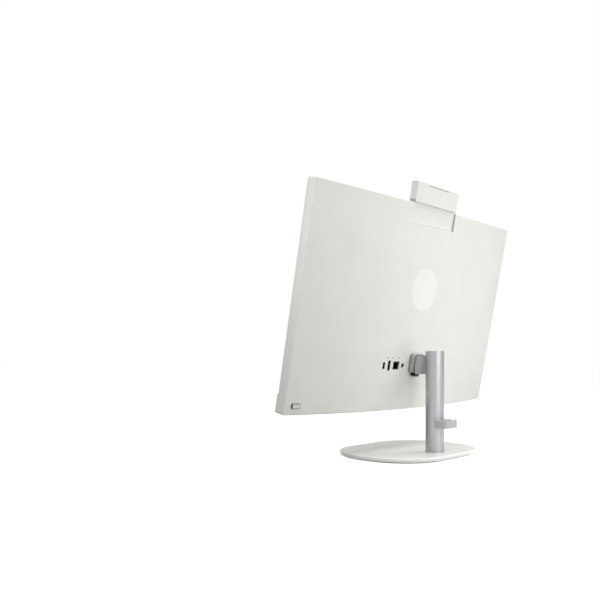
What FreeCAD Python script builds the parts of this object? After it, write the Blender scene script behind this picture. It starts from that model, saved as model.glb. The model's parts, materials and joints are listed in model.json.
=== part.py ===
import FreeCAD, Part
import math
import os

# All-in-one desktop computer: a bowed display head tilts on a round post and a flat base.
# Millimetres. +X is right seen from the front, the screen faces -Y, +Z is up, and the
# origin is the centre of the base's underside. Head pieces are drawn in the head's own
# frame (x across, y back, z up, zero at the middle of the back's edge plane) and then
# tilted about the hinge pin.

# --- Fits and gaps -------------------------------------------------------------------
RUN_GAP = 0.05            # radial clearance of the hinge pin in the tongue
SEAT_GAP = 0.1            # between fixed pieces that slip into each other
SLIDE_GAP = 0.3           # between pieces that pass each other
SEAM = 0.25               # parting line between mouldings

# --- Display head --------------------------------------------------------------------
ACTIVE_W = 527.0          # picture area of a 23.8 inch 16:9 panel
ACTIVE_H = 296.5
SIDE_BORDER = 7.0
TOP_BORDER = 5.0
CHIN_H = 28.1
EDGE_T = 15.4             # thickness of the head at its side edges
BULGE_TOP = 14.3          # how far the back stands out at the middle of the top edge
BULGE_BOTTOM = 21.2       # and at the middle of the bottom edge
TILT = 10.92              # degrees the head leans back at rest
WALL = 2.2
CORNER_ROUND = 3.2        # the four corners seen from the front
EDGE_ROUND = 2.6          # where the sides turn into the back
EDGE_BREAK = 1.4          # bevel along the top and bottom of the back
RIB_T = 1.2
RIB_H = 2.4
RIB_PITCH = 62.0

# --- Bezel, chin and panel -----------------------------------------------------------
BEZEL_DEPTH = 3.0
RIM = 1.5                 # visible width of the bezel
LEDGE = 2.0               # bezel's inner step, behind the panel
LEDGE_T = 0.8
PANEL_BORDER = 1.3        # dead border of the glass round the picture area
MASK_INSET = 0.3
MASK_T = 0.9
GLASS_T = 1.2
GUIDE_T = 2.8
TRAY_T = 0.8
CHASSIS_T = 1.2
CHASSIS_MARGIN = 5.0
CHASSIS_FOLD = 2.4        # height of the stiffening folds
CHASSIS_WINDOW = 54.0     # lightening windows, square
WINDOW_X = 196.0
WINDOW_Z = (-78.0, 48.0)
CHIN_STEP = 2.2           # the chin stands this far in front of the bezel
CHIN_HOOK_L = 18.0
CHIN_HOOK_T = 1.4
CHIN_HOOKS = 5

# --- Vents ---------------------------------------------------------------------------
VENT_SLOT = 3.2
VENT_PITCH = 8.0
VENT_DEPTH = 6.0          # slot length, front to back
VENT_MARGIN = 2.0
TOP_VENT_FROM_NOTCH = 25.8
TOP_VENT_FROM_SIDE = 71.5
SPEAKER_FROM_SIDE = 95.5  # middle of each speaker and its grille

# --- Badge ---------------------------------------------------------------------------
BADGE_R = 37.5
BADGE_Z = 33.3
BADGE_T = 0.8

# --- Pop-up camera -------------------------------------------------------------------
CAM_W = 118.4
CAM_FRONT = 2.0           # depth of the block's front face
CAM_NOTCH_H = 30.5
CAM_TRAVEL = 31.5
CAM_LIP = 0.8             # the block stands this far above the head when it is down
NOTCH_RECESS = 3.0        # from the back to the carriage's tongue
NOTCH_GAP = 1.2           # open slit either side of the carriage
NOTCH_WALL = 1.8
TONGUE_LAP = 10.0         # the raised tongue reaches this far below the notch
CAM_SHELL = 1.6
GRIP_W = 55.0
GRIP_H = 1.2
GRIP_DROP = 2.6           # grip slit's distance below the block's top
GRIP_DEPTH = 2.4
LENS_R = 3.2
LENS_T = 0.8
BARREL_R = 4.6
BARREL_L = 4.0
WINDOW_W = 46.0
WINDOW_H = 12.0
WINDOW_T = 0.8
LENS_DROP = 14.0          # lens centre below the block's top
CAM_BOARD_W = 88.0
CAM_BOARD_H = 11.0
CAM_BOARD_T = 1.0
RAIL_T = 2.4
RAIL_LIP = 5.0
LATCH_W = 14.0
LATCH_BODY_L = 50.0
LATCH_ROD_R = 1.8
LATCH_ROD_IN = 14.0       # length of rod inside its body when raised

# --- Main board and what is on it ----------------------------------------------------
BOARD_W = 200.0
BOARD_LOW = -125.0
BOARD_TOP = 12.0
BOARD_T = 1.6
BOARD_STANDOFF = 8.0
BOARD_NOTCH_W = 50.0      # cut round the hinge's mast
BOARD_NOTCH_TOP = -60.0
STANDOFF_R = 3.0
BOARD_SCREW_R = 1.5
SCREW_HEAD_R = 3.0
SCREW_HEAD_T = 1.8
BOARD_INSET = 5.0
CPU_X = -72.0
CPU_Z = -40.0
CPU_W = 37.5
CPU_T = 2.0
PLATE_W = 46.0            # cold plate on the processor
PLATE_T = 1.6
PIPE_W = 8.0
PIPE_T = 3.0
PIPE_BEND = 22.0
MEMORY_W = 67.6
MEMORY_H = 30.0
MEMORY_T = 1.2
MEMORY_X = 60.0
MEMORY_Z = (-65.0, -33.0)
SOCKET_H = 6.0
SOCKET_T = 4.0
CHIP_W = 10.0
CHIP_H = 12.0
CHIP_T = 1.0
CHIPS = 4
SSD_L = 80.0
M2_W = 22.0
M2_T = 0.9
M2_RISE = 2.6             # height of the cards above the board
M2_SOCKET_W = 5.0
WIFI_L = 30.0
M2_X = -60.0              # outer end of the drive
M2_Z = 0.0
M2_GAP = 3.0
CELL_R = 10.0
CELL_T = 3.2
CELL_Z = -44.0

# --- Cooling -------------------------------------------------------------------------
BLOWER_X = -122.0
BLOWER_Z = 58.0
BLOWER_R = 32.0           # inside of the scroll, at its tightest
BLOWER_GROW = 4.0         # how much the scroll opens towards its mouth
BLOWER_T = 12.0
BLOWER_WALL = 1.4
BLOWER_LIFT = 1.0         # pads under the housing
IMPELLER_R = 28.0
HUB_R = 12.0
BLADES = 17
BLADE_T = 1.0
BLADE_LEAN = 38.0         # degrees a blade leans back from the radius
BLADE_END_GAP = 1.0
SHAFT_R = 1.5
INTAKE_R = 20.0
FIN_COUNT = 18
FIN_T = 0.6
FIN_PITCH = 3.2
FIN_DEPTH = 13.0
FIN_GAP = 2.0             # between the blower's mouth and the fins

# --- Ports, all facing back ----------------------------------------------------------
PORT_Z = -91.7
PORT_H = 16.0             # height of the connectors above the board
PORT_WALL = 0.6
PORT_CLEAR = 0.35         # cover's cut-out round a connector
HDMI_X = 67.0
HDMI_SIZE = (6.0, 15.6)
USB_C_X = 80.0
USB_C_SIZE = (5.0, 10.2)
ETHERNET_X = 49.0
ETHERNET_SIZE = (15.6, 12.8)
PLUG_SIZE = (11.9, 7.6)   # mouth for the network plug
PLUG_DEPTH = 12.0
PLUG_KEY = (4.2, 2.6)     # and the notch for its tab
DC_X = 31.7
DC_R = 3.6
DC_BORE_R = 2.4
DC_PIN_R = 0.5
USB_A_X = (-44.0, -60.0)
USB_A_SIZE = (7.2, 14.4)
AUDIO_X = -76.0
AUDIO_R = 3.4
AUDIO_BORE_R = 1.8
MOUTH_DEPTH = 9.0
CONTACT_T = 0.7           # contact tongue inside a connector
TONGUE_SIDE = 2.0         # tongue's ends to the shell's outside

# --- Sound, antennas and power switch ------------------------------------------------
SPEAKER_W = 96.0
SPEAKER_H = 21.0
SPEAKER_T = 9.0
DRIVER_W = 34.0
DRIVER_T = 1.0
ANTENNA_W = 44.0
ANTENNA_H = 9.0
ANTENNA_T = 0.8
ANTENNA_FROM_SIDE = 55.5
BUTTON_FROM_SIDE = 20.1
BUTTON_FROM_LOW = 13.4
BUTTON_W = 15.2
BUTTON_H = 7.2
BUTTON_GAP = 0.4
BUTTON_END_GAP = 1.4      # finger room at the key's outer end
BUTTON_PROUD = 1.0        # the flat key stands out of the sloping back at its middle
BUTTON_TRAVEL = 0.8
BUTTON_FLANGE_W = 2.4
BUTTON_FLANGE_T = 1.2
SWITCH_W = 6.0
POWER_BOARD_W = 26.0
POWER_BOARD_H = 14.0

# --- Tilt hinge ----------------------------------------------------------------------
HINGE_Z = -87.2           # pin height in the head's frame
HINGE_PLATE_W = 30.0
HINGE_PLATE_H = 30.4
HINGE_PLATE_T = 7.8
HINGE_PLATE_ROUND = 5.0
PIN_OFFSET = 8.5          # pin behind the plate
PIN_R = 3.0
TONGUE_W = 8.0
TONGUE_R = 6.5
WASHER_T = 1.2
WASHER_R = 6.0
TILT_FORWARD = 5.0        # degrees past upright
TILT_BACK = 20.0
MAST_W = 22.0             # box that carries the plate through the cover
MAST_WALL = 3.0
FLANGE_W = 44.0
FLANGE_T = 3.0
MAST_SCREW_R = 2.0
RELEASE_W = 12.0
RELEASE_H = 4.0
RELEASE_DEPTH = 8.0
RELEASE_TRAVEL = 2.0
RELEASE_ROUND = 1.0
RELEASE_STEM_W = 7.0
RELEASE_STEM_T = 4.0
RELEASE_STEM_L = 6.0

# --- Post, arm and base --------------------------------------------------------------
POST_Y = 51.5
POST_R = 14.7
POST_WALL = 2.4
POST_TOP = 169.3
PIN_Z = 147.0             # pin height above the desk
ARM_REACH = 22.7          # pin in front of the post's axis
ARM_W = 24.0
ARM_H = 30.0
ARM_WEB = 3.0
ARM_TANG_W = 14.0
ARM_TANG_H = 24.0
ARM_TANG_IN = 6.0         # tang past the post's axis
CAP_T = 2.0
CAP_PLUG = 3.0
CORE_BELOW = 8.0          # core reaches this far under the tang
CORE_SCREW_R = 1.6
CORE_SCREW_PITCH = 7.0
CORE_SCREW_FORWARD = 1.0  # pair set in front of the post's axis
CORE_SCREW_HEAD_R = 2.8
CORE_SCREW_HEAD_T = 2.0
FOOT_PLUG_H = 20.0
BASE_W = 238.4
BASE_D = 181.4
BASE_ROUND_SHARE = 0.889   # its corners' radius to half its depth
BASE_T = 5.2
BASE_EDGE = 0.9
PAD_T = 2.2
PAD_INSET = 5.0           # pad's outer edge inside the plate's
PAD_BAND = 14.0
BASE_SCREW_R = 2.0
BASE_SCREW_HEAD_R = 3.8
BASE_SCREW_HEAD_T = 2.0
BASE_SCREW_L = 16.0       # depth of its hole in the foot
BASE_SCREW_END = 1.0      # hole left past the screw
BASE_SCREW_CIRCLE = 8.0
BASE_SCREWS = 3

# --- Cable clip ----------------------------------------------------------------------
CLIP_W = 37.6
CLIP_LOW = 47.3
CLIP_H = 12.4
CLIP_BACK = 82.8
CLIP_FRONT = 60.9
CLIP_WALL = 2.0
CLIP_ROUND = 5.0
CLIP_SLIT = 5.0
CLIP_PEG_R = 3.0

# --- Derived -------------------------------------------------------------------------
HEAD_W = ACTIVE_W + 2 * SIDE_BORDER
HEAD_H = ACTIVE_H + TOP_BORDER + CHIN_H
FRONT = -EDGE_T
COVER_FRONT = FRONT + BEZEL_DEPTH + SEAM
HEAD_TOP = HEAD_H / 2
HEAD_LOW = -HEAD_H / 2
ACTIVE_TOP = HEAD_TOP - TOP_BORDER
ACTIVE_LOW = ACTIVE_TOP - ACTIVE_H
MASK_Y = FRONT + MASK_INSET
GLASS_Y = MASK_Y + MASK_T
GUIDE_Y = GLASS_Y + GLASS_T
TRAY_Y = GUIDE_Y + GUIDE_T
CHASSIS_Y = TRAY_Y + TRAY_T
DECK_Y = CHASSIS_Y + CHASSIS_T
BOARD_Y = DECK_Y + BOARD_STANDOFF
BOARD_BACK = BOARD_Y + BOARD_T
PORT_BACK = BOARD_BACK + PORT_H
POST_BORE = POST_R - POST_WALL
BASE_TOP = PAD_T + BASE_T
BASE_ROUND = BASE_ROUND_SHARE * BASE_D / 2
NOTCH_LOW = HEAD_TOP - CAM_NOTCH_H
CAM_LOW = NOTCH_LOW + SLIDE_GAP + CAM_TRAVEL
CAM_TOP = HEAD_TOP + CAM_LIP + CAM_TRAVEL
TONGUE_LOW = NOTCH_LOW - TONGUE_LAP
PIN_Y = POST_Y - ARM_REACH
BUTTON_X = HEAD_W / 2 - BUTTON_FROM_SIDE
BUTTON_Z = HEAD_LOW + BUTTON_FROM_LOW
SPEAKER_X = HEAD_W / 2 - SPEAKER_FROM_SIDE
ANTENNA_X = HEAD_W / 2 - ANTENNA_FROM_SIDE

X_AXIS = FreeCAD.Vector(1, 0, 0)
Y_AXIS = FreeCAD.Vector(0, 1, 0)
Z_AXIS = FreeCAD.Vector(0, 0, 1)


# --- Basic shapes --------------------------------------------------------------------
def block(x0, x1, y0, y1, z0, z1):
    """Box between two opposite corners."""
    return Part.makeBox(x1 - x0, y1 - y0, z1 - z0, FreeCAD.Vector(x0, y0, z0))


def centred(width, y0, y1, height, x, z):
    """Box between two depths, centred on x and z."""
    return block(x - width / 2, x + width / 2, y0, y1, z - height / 2, z + height / 2)


def depth_rod(radius, y0, y1, x, z):
    """Cylinder from front to back."""
    return Part.makeCylinder(radius, y1 - y0, FreeCAD.Vector(x, y0, z), Y_AXIS)


def cross_rod(radius, x0, x1, y, z):
    """Cylinder from left to right."""
    return Part.makeCylinder(radius, x1 - x0, FreeCAD.Vector(x0, y, z), X_AXIS)


def upright_rod(radius, z0, z1, x, y):
    """Cylinder from bottom to top."""
    return Part.makeCylinder(radius, z1 - z0, FreeCAD.Vector(x, y, z0), Z_AXIS)


def hex_post(radius, y0, y1, x, z):
    """Six-sided post from front to back."""
    corners = [FreeCAD.Vector(x + radius * math.cos(math.radians(60 * turn)), y0,
                              z + radius * math.sin(math.radians(60 * turn))) for turn in range(7)]
    return Part.Face(Part.makePolygon(corners)).extrude(FreeCAD.Vector(0, y1 - y0, 0))


def edges_along(solid, axis):
    """Straight edges of a solid that run along an axis."""
    found = []
    for edge in solid.Edges:
        run = edge.Vertexes[-1].Point.sub(edge.Vertexes[0].Point)
        if run.Length > 0 and abs(run.normalize().dot(axis)) > math.cos(math.radians(1)):
            found.append(edge)
    return found


def rounded(solid, axis, radius):
    """The solid with its edges along one axis rounded."""
    return solid.makeFillet(radius, edges_along(solid, axis))


def screw(shank_r, length, head_r, head_t):
    """Hexagon-head screw along +Z, its head's seat at the origin and the shank below it."""
    shank = Part.makeCylinder(shank_r, length, FreeCAD.Vector(0, 0, -length))
    head = hex_post(head_r, 0, head_t, 0, 0)
    head.rotate(FreeCAD.Vector(0, 0, 0), X_AXIS, 90)
    return shank.fuse(head).removeSplitter()


def aimed(solid, place, direction):
    """A +Z solid turned to a direction and moved to a place."""
    turned = solid.copy()
    turned.Placement = FreeCAD.Placement(place, FreeCAD.Rotation(Z_AXIS, direction))
    return turned


# --- The head's bowed form -----------------------------------------------------------
def bulge(z):
    """How far the middle of the back stands out from the side edges at one height."""
    share = 0.5 + z / HEAD_H
    return BULGE_TOP * share + BULGE_BOTTOM * (1 - share)


def bow_section(z, inset, front):
    """Outline across the head: flat front, straight sides and one arc for the back."""
    half = HEAD_W / 2 - inset
    left_front = FreeCAD.Vector(-half, front, z)
    right_front = FreeCAD.Vector(half, front, z)
    right_back = FreeCAD.Vector(half, -inset, z)
    left_back = FreeCAD.Vector(-half, -inset, z)
    crown = FreeCAD.Vector(0, bulge(z) - inset, z)
    return Part.Wire([
        Part.makeLine(left_front, right_front),
        Part.makeLine(right_front, right_back),
        Part.Arc(right_back, crown, left_back).toShape(),
        Part.makeLine(left_back, left_front),
    ])


def bowed(inset, front, low, high):
    """Solid between two heights whose back follows the head's bow, set in by inset."""
    return Part.makeLoft([bow_section(low, inset, front), bow_section(high, inset, front)], True, True)


def back_skin(outer, inner):
    """Bowed layer of the back between two insets."""
    whole = bowed(outer, COVER_FRONT, HEAD_LOW + outer, HEAD_TOP - outer)
    return whole.cut(bowed(inner, COVER_FRONT, HEAD_LOW + inner, HEAD_TOP - inner))


def back_at(x, z):
    """Depth of the back's outer face."""
    return bulge(z) * (1 - (2 * x / HEAD_W) ** 2)


def in_head(shape):
    """Moves a piece from the head's own frame to its tilted place on the pin."""
    turn = FreeCAD.Rotation(X_AXIS, -TILT)
    local_pin = FreeCAD.Vector(0, hinge_pin_y(), HINGE_Z)
    origin = FreeCAD.Vector(0, PIN_Y, PIN_Z).sub(turn.multVec(local_pin))
    placed = shape.copy()
    placed.Placement = FreeCAD.Placement(origin, turn).multiply(shape.Placement)
    return placed


def hinge_plate_y():
    """Front of the hinge plate, just off the back at the plate's lower edge."""
    return bulge(plate_low()) + SLIDE_GAP


def hinge_pin_y():
    """Depth of the pin in the head's frame."""
    return hinge_plate_y() + HINGE_PLATE_T + PIN_OFFSET


# --- Rear cover ----------------------------------------------------------------------
def soft_section(z, inset):
    """Bow section whose back corners are rounded by arcs that touch the side and the bow."""
    half = HEAD_W / 2 - inset
    crown = bulge(z) - inset
    bow_r = (half ** 2 + (crown + inset) ** 2) / (2 * (crown + inset))
    bow_y = crown - bow_r
    round_x = half - EDGE_ROUND
    round_y = bow_y + math.sqrt((bow_r - EDGE_ROUND) ** 2 - round_x ** 2)
    lean = math.atan2(round_y - bow_y, round_x)
    points = [(half, COVER_FRONT), (half, round_y)]
    for angle in (lean / 2, lean):
        points.append((round_x + EDGE_ROUND * math.cos(angle), round_y + EDGE_ROUND * math.sin(angle)))
    right = [FreeCAD.Vector(x, y, z) for x, y in points]
    left = [FreeCAD.Vector(-x, y, z) for x, y in points]
    return Part.Wire([
        Part.makeLine(left[0], right[0]), Part.makeLine(right[0], right[1]),
        Part.Arc(right[1], right[2], right[3]).toShape(),
        Part.Arc(right[3], FreeCAD.Vector(0, crown, z), left[3]).toShape(),
        Part.Arc(left[3], left[2], left[1]).toShape(), Part.makeLine(left[1], left[0]),
    ])


def cover_blank():
    """The outer form: rounded sides, a bevel at the top and bottom, and four round corners."""
    stations = [(HEAD_LOW, EDGE_BREAK), (HEAD_LOW + EDGE_BREAK, 0), (HEAD_TOP - EDGE_BREAK, 0),
                (HEAD_TOP, EDGE_BREAK)]
    form = Part.makeLoft([soft_section(z, inset) for z, inset in stations], True, True)
    outline = block(-HEAD_W / 2, HEAD_W / 2, COVER_FRONT, BULGE_BOTTOM, HEAD_LOW, HEAD_TOP)
    return form.common(rounded(outline, Y_AXIS, CORNER_ROUND))


def cover_ribs():
    """Grid of low ribs inside the back, clear of the camera and the board."""
    layer = back_skin(WALL, WALL + RIB_H)
    bars = []
    count = int(HEAD_W / 2 / RIB_PITCH)
    for step in range(-count, count + 1):
        if step == 0:
            continue
        bars.append(block(step * RIB_PITCH - RIB_T / 2, step * RIB_PITCH + RIB_T / 2,
                          0, BULGE_BOTTOM, BOARD_TOP, TONGUE_LOW - CAM_TRAVEL - SLIDE_GAP))
    return layer.common(Part.makeCompound(bars))


def notch_frame():
    """Side and bottom returns of the cover round the camera's notch."""
    half = CAM_W / 2 + NOTCH_GAP
    outer = block(-half - NOTCH_WALL, half + NOTCH_WALL, tongue_back() + SLIDE_GAP, BULGE_BOTTOM,
                  NOTCH_LOW - NOTCH_WALL, HEAD_TOP)
    inner = block(-half, half, CAM_FRONT, BULGE_BOTTOM, NOTCH_LOW, HEAD_TOP + WALL)
    return outer.cut(inner).common(bowed(WALL / 2, CAM_FRONT, HEAD_LOW, HEAD_TOP))


def tongue_back():
    """Depth of the carriage tongue's back face."""
    return BULGE_TOP - NOTCH_RECESS


def vent_bands():
    """The four grilles as (left end, right end, lower face): two in the top wall, two below."""
    top = (CAM_W / 2 + TOP_VENT_FROM_NOTCH, HEAD_W / 2 - TOP_VENT_FROM_SIDE, HEAD_TOP - WALL)
    low = (SPEAKER_X - SPEAKER_W / 2 + VENT_MARGIN, SPEAKER_X + SPEAKER_W / 2 - VENT_MARGIN, HEAD_LOW)
    mirrored = [(-right, -left, z) for left, right, z in (top, low)]
    return [top, low] + mirrored


def vent_windows(margin):
    """Blocks through the top and bottom walls where the grille strips sit."""
    depth = VENT_DEPTH + 2 * VENT_MARGIN + 2 * margin
    return [block(left - margin, right + margin, vent_middle() - depth / 2, vent_middle() + depth / 2,
                  low - margin, low + WALL + margin) for left, right, low in vent_bands()]


def vent_middle():
    """Depth of the middle of the grilles, between the chassis and the back's edge."""
    return COVER_FRONT / 2


def port_cutouts(clear):
    """Shapes of every connector, grown by a clearance, through the back."""
    deep = BOARD_BACK + PORT_H / 2
    tools = [port_block(HDMI_X, HDMI_SIZE, deep, clear), port_block(USB_C_X, USB_C_SIZE, deep, clear),
             port_block(ETHERNET_X, ETHERNET_SIZE, deep, clear)]
    tools += [port_block(x, USB_A_SIZE, deep, clear) for x in USB_A_X]
    tools.append(depth_rod(DC_R + clear, deep, 2 * BULGE_BOTTOM, DC_X, PORT_Z))
    tools.append(depth_rod(AUDIO_R + clear, deep, 2 * BULGE_BOTTOM, AUDIO_X, PORT_Z))
    return tools


def port_block(x, size, y0, clear):
    """Rounded block of a connector's outline."""
    solid = centred(size[0] + 2 * clear, y0, 2 * BULGE_BOTTOM, size[1] + 2 * clear, x, PORT_Z)
    return rounded(solid, Y_AXIS, PORT_WALL + clear)


def button_hole():
    """Rounded opening for the power key, wider at its outer end."""
    near = BUTTON_X - BUTTON_W / 2 - BUTTON_GAP
    far = BUTTON_X + BUTTON_W / 2 + BUTTON_END_GAP
    half = BUTTON_H / 2 + BUTTON_GAP
    solid = block(near, far, CHASSIS_Y, BULGE_BOTTOM, BUTTON_Z - half, BUTTON_Z + half)
    return rounded(solid, Y_AXIS, BUTTON_H / 4)


def make_rear_cover():
    half = CAM_W / 2 + NOTCH_GAP
    shell = cover_blank().cut(bowed(WALL, COVER_FRONT, HEAD_LOW + WALL, HEAD_TOP - WALL))
    shell = shell.fuse([cover_ribs(), notch_frame()])
    tools = [block(-half, half, CAM_FRONT - SLIDE_GAP, BULGE_BOTTOM, NOTCH_LOW, HEAD_TOP + WALL)]
    tools += vent_windows(0)
    tools += port_cutouts(PORT_CLEAR)
    tools.append(button_hole())
    mast = MAST_W + 2 * SLIDE_GAP
    tools.append(centred(mast, 0, 2 * BULGE_BOTTOM, mast, 0, HINGE_Z))
    badge_seat = depth_rod(BADGE_R + SEAT_GAP, 0, BULGE_BOTTOM, 0, BADGE_Z)
    tools.append(badge_seat.cut(bowed(BADGE_T, COVER_FRONT, HEAD_LOW, HEAD_TOP)))
    return shell.cut(tools).removeSplitter()


def make_badge_disc():
    disc = depth_rod(BADGE_R, 0, BULGE_BOTTOM, 0, BADGE_Z)
    return disc.common(back_skin(0, BADGE_T))


def make_vent_grilles():
    """Four slotted strips, each with as many slots as it has room for."""
    strips = []
    for window in vent_windows(-SEAT_GAP):
        middle = window.BoundBox.Center
        count = int((window.BoundBox.XLength - VENT_MARGIN) / VENT_PITCH)
        first = middle.x - (count - 1) / 2 * VENT_PITCH
        slots = [centred(VENT_SLOT, middle.y - VENT_DEPTH / 2, middle.y + VENT_DEPTH / 2, 2 * WALL,
                         first + index * VENT_PITCH, middle.z) for index in range(count)]
        strips.append(window.cut(slots))
    return Part.makeCompound(strips)


# --- Front: bezel, chin and panel ----------------------------------------------------
def make_front_bezel():
    outer = block(-HEAD_W / 2, HEAD_W / 2, FRONT, FRONT + BEZEL_DEPTH, HEAD_LOW, HEAD_TOP)
    outer = rounded(outer, Y_AXIS, CORNER_ROUND)
    opening = frame_cut(RIM, FRONT, FRONT + BEZEL_DEPTH - LEDGE_T)
    passage = frame_cut(RIM + LEDGE, FRONT, FRONT + BEZEL_DEPTH)
    return outer.cut([opening, passage])


def frame_cut(inset, y0, y1):
    """Block as large as the head less an inset all round."""
    return block(-HEAD_W / 2 + inset, HEAD_W / 2 - inset, y0, y1, HEAD_LOW + inset, HEAD_TOP - inset)


def make_display_mask():
    edge = RIM + SEAT_GAP
    sheet = block(-HEAD_W / 2 + edge, HEAD_W / 2 - edge, MASK_Y, MASK_Y + MASK_T,
                  ACTIVE_LOW - PANEL_BORDER, HEAD_TOP - edge)
    window = centred(ACTIVE_W, MASK_Y, MASK_Y + MASK_T, ACTIVE_H, 0, ACTIVE_TOP - ACTIVE_H / 2)
    return sheet.cut(window)


def panel_layer(y0, y1, border):
    """Sheet of the panel, larger than the picture area by a border."""
    return centred(ACTIVE_W + 2 * border, y0, y1, ACTIVE_H + 2 * border, 0, ACTIVE_TOP - ACTIVE_H / 2)


def make_lcd_panel():
    return panel_layer(GLASS_Y, GUIDE_Y, PANEL_BORDER)


def make_light_guide():
    return panel_layer(GUIDE_Y, TRAY_Y, PANEL_BORDER - TRAY_T - SEAT_GAP)


def make_backlight_tray():
    """Shallow folded tray that holds the light guide."""
    tray = panel_layer(GUIDE_Y, CHASSIS_Y, PANEL_BORDER)
    return tray.cut(panel_layer(GUIDE_Y, TRAY_Y, PANEL_BORDER - TRAY_T))


def make_chin_cover():
    """Bar under the picture with hooks that reach into the bezel."""
    top = ACTIVE_LOW
    plate = block(-HEAD_W / 2, HEAD_W / 2, FRONT - CHIN_STEP, FRONT, HEAD_LOW, top)
    corners = [edge for edge in edges_along(plate, Y_AXIS) if edge.CenterOfMass.z < top]
    plate = plate.makeFillet(CORNER_ROUND, corners)
    hook_low = HEAD_LOW + RIM + LEDGE + SEAT_GAP
    hooks = []
    for index in range(CHIN_HOOKS):
        x = (index - (CHIN_HOOKS - 1) / 2) * HEAD_W / (CHIN_HOOKS + 1)
        hooks.append(block(x - CHIN_HOOK_L / 2, x + CHIN_HOOK_L / 2, FRONT, FRONT + BEZEL_DEPTH,
                           hook_low, hook_low + CHIN_HOOK_T))
    return plate.fuse(hooks).removeSplitter()


def make_chassis_plate():
    """Steel sheet behind the panel, with stand-offs, a folded rim and lightening windows."""
    half_w = HEAD_W / 2 - CHASSIS_MARGIN
    half_h = HEAD_H / 2 - CHASSIS_MARGIN
    sheet = block(-half_w, half_w, CHASSIS_Y, DECK_Y, -half_h, half_h)
    sheet = rounded(sheet, Y_AXIS, CORNER_ROUND)
    posts = [hex_post(STANDOFF_R, DECK_Y, BOARD_Y, x, z) for x, z in board_screw_places()]
    fold_w = SPEAKER_X - SPEAKER_W / 2 - CORNER_ROUND
    folds = [block(-fold_w, fold_w, DECK_Y, DECK_Y + CHASSIS_FOLD, z, z + CHASSIS_T)
             for z in (-half_h, half_h - CHASSIS_T)]
    sheet = sheet.fuse(posts + folds)
    windows = []
    for side in (-1, 1):
        for z in WINDOW_Z:
            windows.append(centred(CHASSIS_WINDOW, CHASSIS_Y, DECK_Y, CHASSIS_WINDOW, side * WINDOW_X, z))
    holes = [depth_rod(BOARD_SCREW_R + SEAT_GAP, DECK_Y, BOARD_Y, x, z) for x, z in board_screw_places()]
    holes += [depth_rod(MAST_SCREW_R + SEAT_GAP, CHASSIS_Y, DECK_Y, x, z) for x, z in mast_screw_places()]
    return sheet.cut(windows + holes).removeSplitter()


# --- Main board ----------------------------------------------------------------------
def board_screw_places():
    """Where the board's four screws and stand-offs are."""
    half = BOARD_W / 2 - BOARD_INSET
    return [(x, z) for x in (-half, half) for z in (BOARD_LOW + BOARD_INSET, BOARD_TOP - BOARD_INSET)]


def make_mainboard():
    """Board cut away round the hinge's mast."""
    board = block(-BOARD_W / 2, BOARD_W / 2, BOARD_Y, BOARD_BACK, BOARD_LOW, BOARD_TOP)
    notch = block(-BOARD_NOTCH_W / 2, BOARD_NOTCH_W / 2, BOARD_Y, BOARD_BACK, BOARD_LOW, BOARD_NOTCH_TOP)
    holes = [depth_rod(BOARD_SCREW_R + SEAT_GAP, BOARD_Y, BOARD_BACK, x, z) for x, z in board_screw_places()]
    return board.cut([notch] + holes)


def make_board_screws():
    length = BOARD_T + BOARD_STANDOFF / 2
    one = screw(BOARD_SCREW_R, length, SCREW_HEAD_R, SCREW_HEAD_T)
    return Part.makeCompound([aimed(one, FreeCAD.Vector(x, BOARD_BACK, z), Y_AXIS)
                              for x, z in board_screw_places()])


def make_processor():
    """Package with its bare die."""
    package = centred(CPU_W, BOARD_BACK, BOARD_BACK + CPU_T / 2, CPU_W, CPU_X, CPU_Z)
    die = centred(CPU_W / 2, BOARD_BACK + CPU_T / 2, BOARD_BACK + CPU_T, CPU_W / 3, CPU_X, CPU_Z)
    return package.fuse(die).removeSplitter()


def cold_plate_y():
    return BOARD_BACK + CPU_T


def pipe_y():
    return cold_plate_y() + PLATE_T


def make_cold_plate():
    """Plate on the processor with four arms to the board."""
    plate = centred(PLATE_W, cold_plate_y(), pipe_y(), CPU_W, CPU_X, CPU_Z)
    legs = []
    for x in (-1, 1):
        for z in (-1, 1):
            legs.append(hex_post(STANDOFF_R, BOARD_BACK, pipe_y(),
                                 CPU_X + x * PLATE_W / 2, CPU_Z + z * CPU_W / 2))
    return plate.fuse(legs).removeSplitter()


def fin_low():
    """Lower face of the fin stack, just above the blower's mouth."""
    return BLOWER_Z + blower_mouth_rise() + FIN_GAP


def blower_mouth_rise():
    return BLOWER_R + BLOWER_GROW + BLOWER_WALL


def make_heat_pipe():
    """Flat pipe from the cold plate, round two bends, along the top of the fins."""
    middle = pipe_y() + PIPE_T / 2
    fin_z = fin_low() + FIN_DEPTH / 2
    start = FreeCAD.Vector(CPU_X, middle, CPU_Z - CPU_W / 3)
    corner = FreeCAD.Vector(CPU_X, middle, fin_z)
    finish = FreeCAD.Vector(BLOWER_X - FIN_COUNT * FIN_PITCH / 2, middle, fin_z)
    before = FreeCAD.Vector(CPU_X, middle, fin_z - PIPE_BEND)
    after = FreeCAD.Vector(CPU_X - PIPE_BEND, middle, fin_z)
    slope = PIPE_BEND * (1 - math.cos(math.radians(45)))
    turn = FreeCAD.Vector(CPU_X - slope, middle, fin_z - slope)
    path = Part.Wire([Part.makeLine(start, before), Part.Arc(before, turn, after).toShape(),
                      Part.makeLine(after, finish)])
    section = Part.makePolygon([
        FreeCAD.Vector(CPU_X + x * PIPE_W / 2, middle + y * PIPE_T / 2, start.z)
        for x, y in ((-1, -1), (1, -1), (1, 1), (-1, 1), (-1, -1))])
    return path.makePipeShell([section], True, True)


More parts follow.
